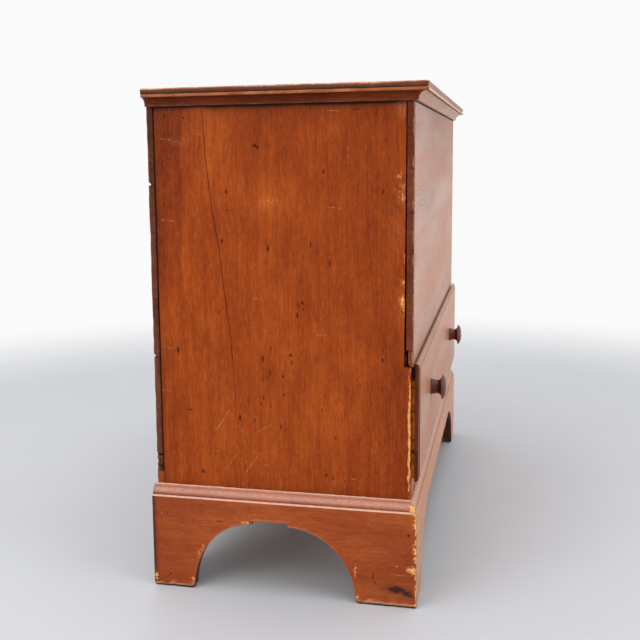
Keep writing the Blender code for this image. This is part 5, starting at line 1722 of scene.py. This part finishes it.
        return self.carried(f"lid_edge_{side.word}", along, 95 + side.value, place, 0.0)

    def moulding_front(self) -> bpy.types.Object:
        """Moulding along the front, mitred at both ends."""
        case_half, front_y = case_corner()
        along = stations(-case_half, case_half, 6.0 * MM)

        def place(run: Array, out: Array, z: Array) -> Array:
            """Points of the run; both ends follow their mitres."""
            near = held(1.0 - (case_half - np.abs(run)) / self.mitre_run)
            return np.stack([run + np.sign(run) * near * (out - 0.3 * MM), front_y - out, z], -1)

        # The front run is painted paler all over: a painted glare
        return self.carried("lid_edge_front", along, 98, place, 0.4)


@dataclass
class Ironwork:
    """Hinges, pins, screws and nails, which keep the frame's own solids."""

    words: tuple[str, ...] = ("hinge_", "back_nail_", "floor_nail_", "runner_nail_")

    def build(self) -> None:
        """Dresses every iron node."""
        names = [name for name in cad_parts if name.startswith(self.words)]
        for name in names:
            dress(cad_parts[name], IRON)
        LOG.info("ironwork: %d nodes dressed", len(names))


@dataclass
class Studio:
    """Pale floor, soft light, white surroundings and the camera."""

    floor_half: float = 6.0
    floor_paint: Colour = seen(198, 200, 205)
    floor_cloud: Colour = (0.48, 0.48, 0.49)
    fade_start: float = 1.35
    fade_end: float = 2.6
    light: float = 0.62
    background: float = 0.96
    camera_place: tuple[float, float, float] = (-2.0953, -0.3671, 0.7700)
    camera_turn: tuple[float, float, float] = (13.517, -8.175, -0.750)
    focal_pixels: float = 962.5
    axis_pixel: tuple[float, float] = (280.6, 293.7)

    def build(self) -> None:
        """Builds the floor, the lights and the camera."""
        self.floor()
        self.world()
        self.lamp("overhead_panel", (-0.2, 0.2, 3.4), (0.0, 0.1, 0.4), 3.2, 66.0)
        self.lamp("end_panel", (-3.2, 1.9, 2.2), (-0.5, 0.0, 0.45), 2.4, 54.0)
        self.lamp("front_panel", (-1.4, -3.4, 1.8), (0.0, -0.2, 0.3), 2.4, 42.0)
        self.camera()

    def floor(self) -> None:
        """Flat floor that fades into the surroundings far from the chest."""
        half = self.floor_half
        corners = np.array([[-half, -half, 0.0], [half, -half, 0.0], [half, half, 0.0], [-half, half, 0.0]])
        mesh = bpy.data.meshes.new("floor")
        mesh.from_pydata(corners.tolist(), [], [[0, 1, 2, 3]])
        floor = bpy.data.objects.new("floor", mesh)
        bpy.context.scene.collection.objects.link(floor)
        graph = Graph("floor_paint")
        place = graph.place()
        away = graph.add("ShaderNodeVectorMath", {0: place}, "Value", operation="LENGTH")
        cloud = graph.noise(place, 5.0, 4.0)
        share = graph.band(away, self.fade_start, self.fade_end, 1.0, 0.0)
        colour = graph.blend(graph.band(cloud, 0.35, 0.7, 0.0, 0.08), self.floor_paint, self.floor_cloud)
        paint = graph.finish(base_color=colour, roughness=0.5, specular_ior_level=0.25, alpha=share)
        mesh.materials.append(paint)

    def world(self) -> None:
        """Soft light from all round, seen as white by the camera and in reflections."""
        world = bpy.data.worlds.new("studio")
        bpy.context.scene.world = world
        world.use_nodes = True
        nodes = world.node_tree.nodes
        links = world.node_tree.links
        shade = nodes["Background"]
        shade.inputs["Color"].default_value = (1.0, 1.0, 1.0, 1.0)
        path = nodes.new("ShaderNodeLightPath")
        shown = path.outputs["Is Camera Ray"]
        for ray in ("Is Glossy Ray", "Is Transmission Ray"):
            either = nodes.new("ShaderNodeMath")
            either.operation = "MAXIMUM"
            links.new(shown, either.inputs[0])
            links.new(path.outputs[ray], either.inputs[1])
            shown = either.outputs[0]
        strength = nodes.new("ShaderNodeMapRange")
        strength.inputs["To Min"].default_value = self.light
        strength.inputs["To Max"].default_value = self.background
        links.new(shown, strength.inputs["Value"])
        links.new(strength.outputs["Result"], shade.inputs["Strength"])

    def lamp(self, name: str, place: tuple, target: tuple, size: float, power: float) -> None:
        """Square soft panel aimed at a place.

        Args:
            name: Name of the lamp.
            place: Where it hangs.
            target: Where it points.
            size: Length of its sides.
            power: Its power in watts.
        """
        data = bpy.data.lights.new(name, "AREA")
        data.shape = "SQUARE"
        data.size = size
        data.energy = power
        lamp = bpy.data.objects.new(name, data)
        lamp.location = place
        lamp.rotation_euler = (Vector(target) - Vector(place)).to_track_quat("-Z", "Y").to_euler()
        bpy.context.scene.collection.objects.link(lamp)

    def camera(self) -> None:
        """Camera at the photograph's angle: looking along +X, turned by yaw, pitch and roll."""
        yaw, pitch, roll = (math.radians(angle) for angle in self.camera_turn)
        ahead = Vector((math.cos(pitch) * math.cos(yaw), math.cos(pitch) * math.sin(yaw), math.sin(pitch)))
        level = ahead.cross(Vector((0.0, 0.0, 1.0))).normalized()
        above = level.cross(ahead)
        right = math.cos(roll) * level + math.sin(roll) * above
        up = math.cos(roll) * above - math.sin(roll) * level
        data = bpy.data.cameras.new("photo_camera")
        data.sensor_width = SENSOR_MM
        data.lens = SENSOR_MM * self.focal_pixels / FRAME_PIXELS
        data.shift_x = 0.5 - self.axis_pixel[0] / FRAME_PIXELS
        data.shift_y = self.axis_pixel[1] / FRAME_PIXELS - 0.5
        data.clip_start = 0.05
        camera = bpy.data.objects.new("photo_camera", data)
        turn = Matrix((right, up, -ahead)).transposed().to_4x4()
        camera.matrix_world = Matrix.Translation(self.camera_place) @ turn
        bpy.context.scene.collection.objects.link(camera)
        bpy.context.scene.camera = camera


def main() -> None:
    """Builds the chest's sub-assemblies in order, then the studio."""
    logging.basicConfig(level=logging.INFO, format="%(name)s %(message)s")
    for assembly in (CaseBoards(), BracketBase(), Drawer(), Lid(), Ironwork(), Studio()):
        assembly.build()
    view = bpy.context.scene.view_settings
    view.view_transform = "Standard"


if __name__ == "__main__":
    main()
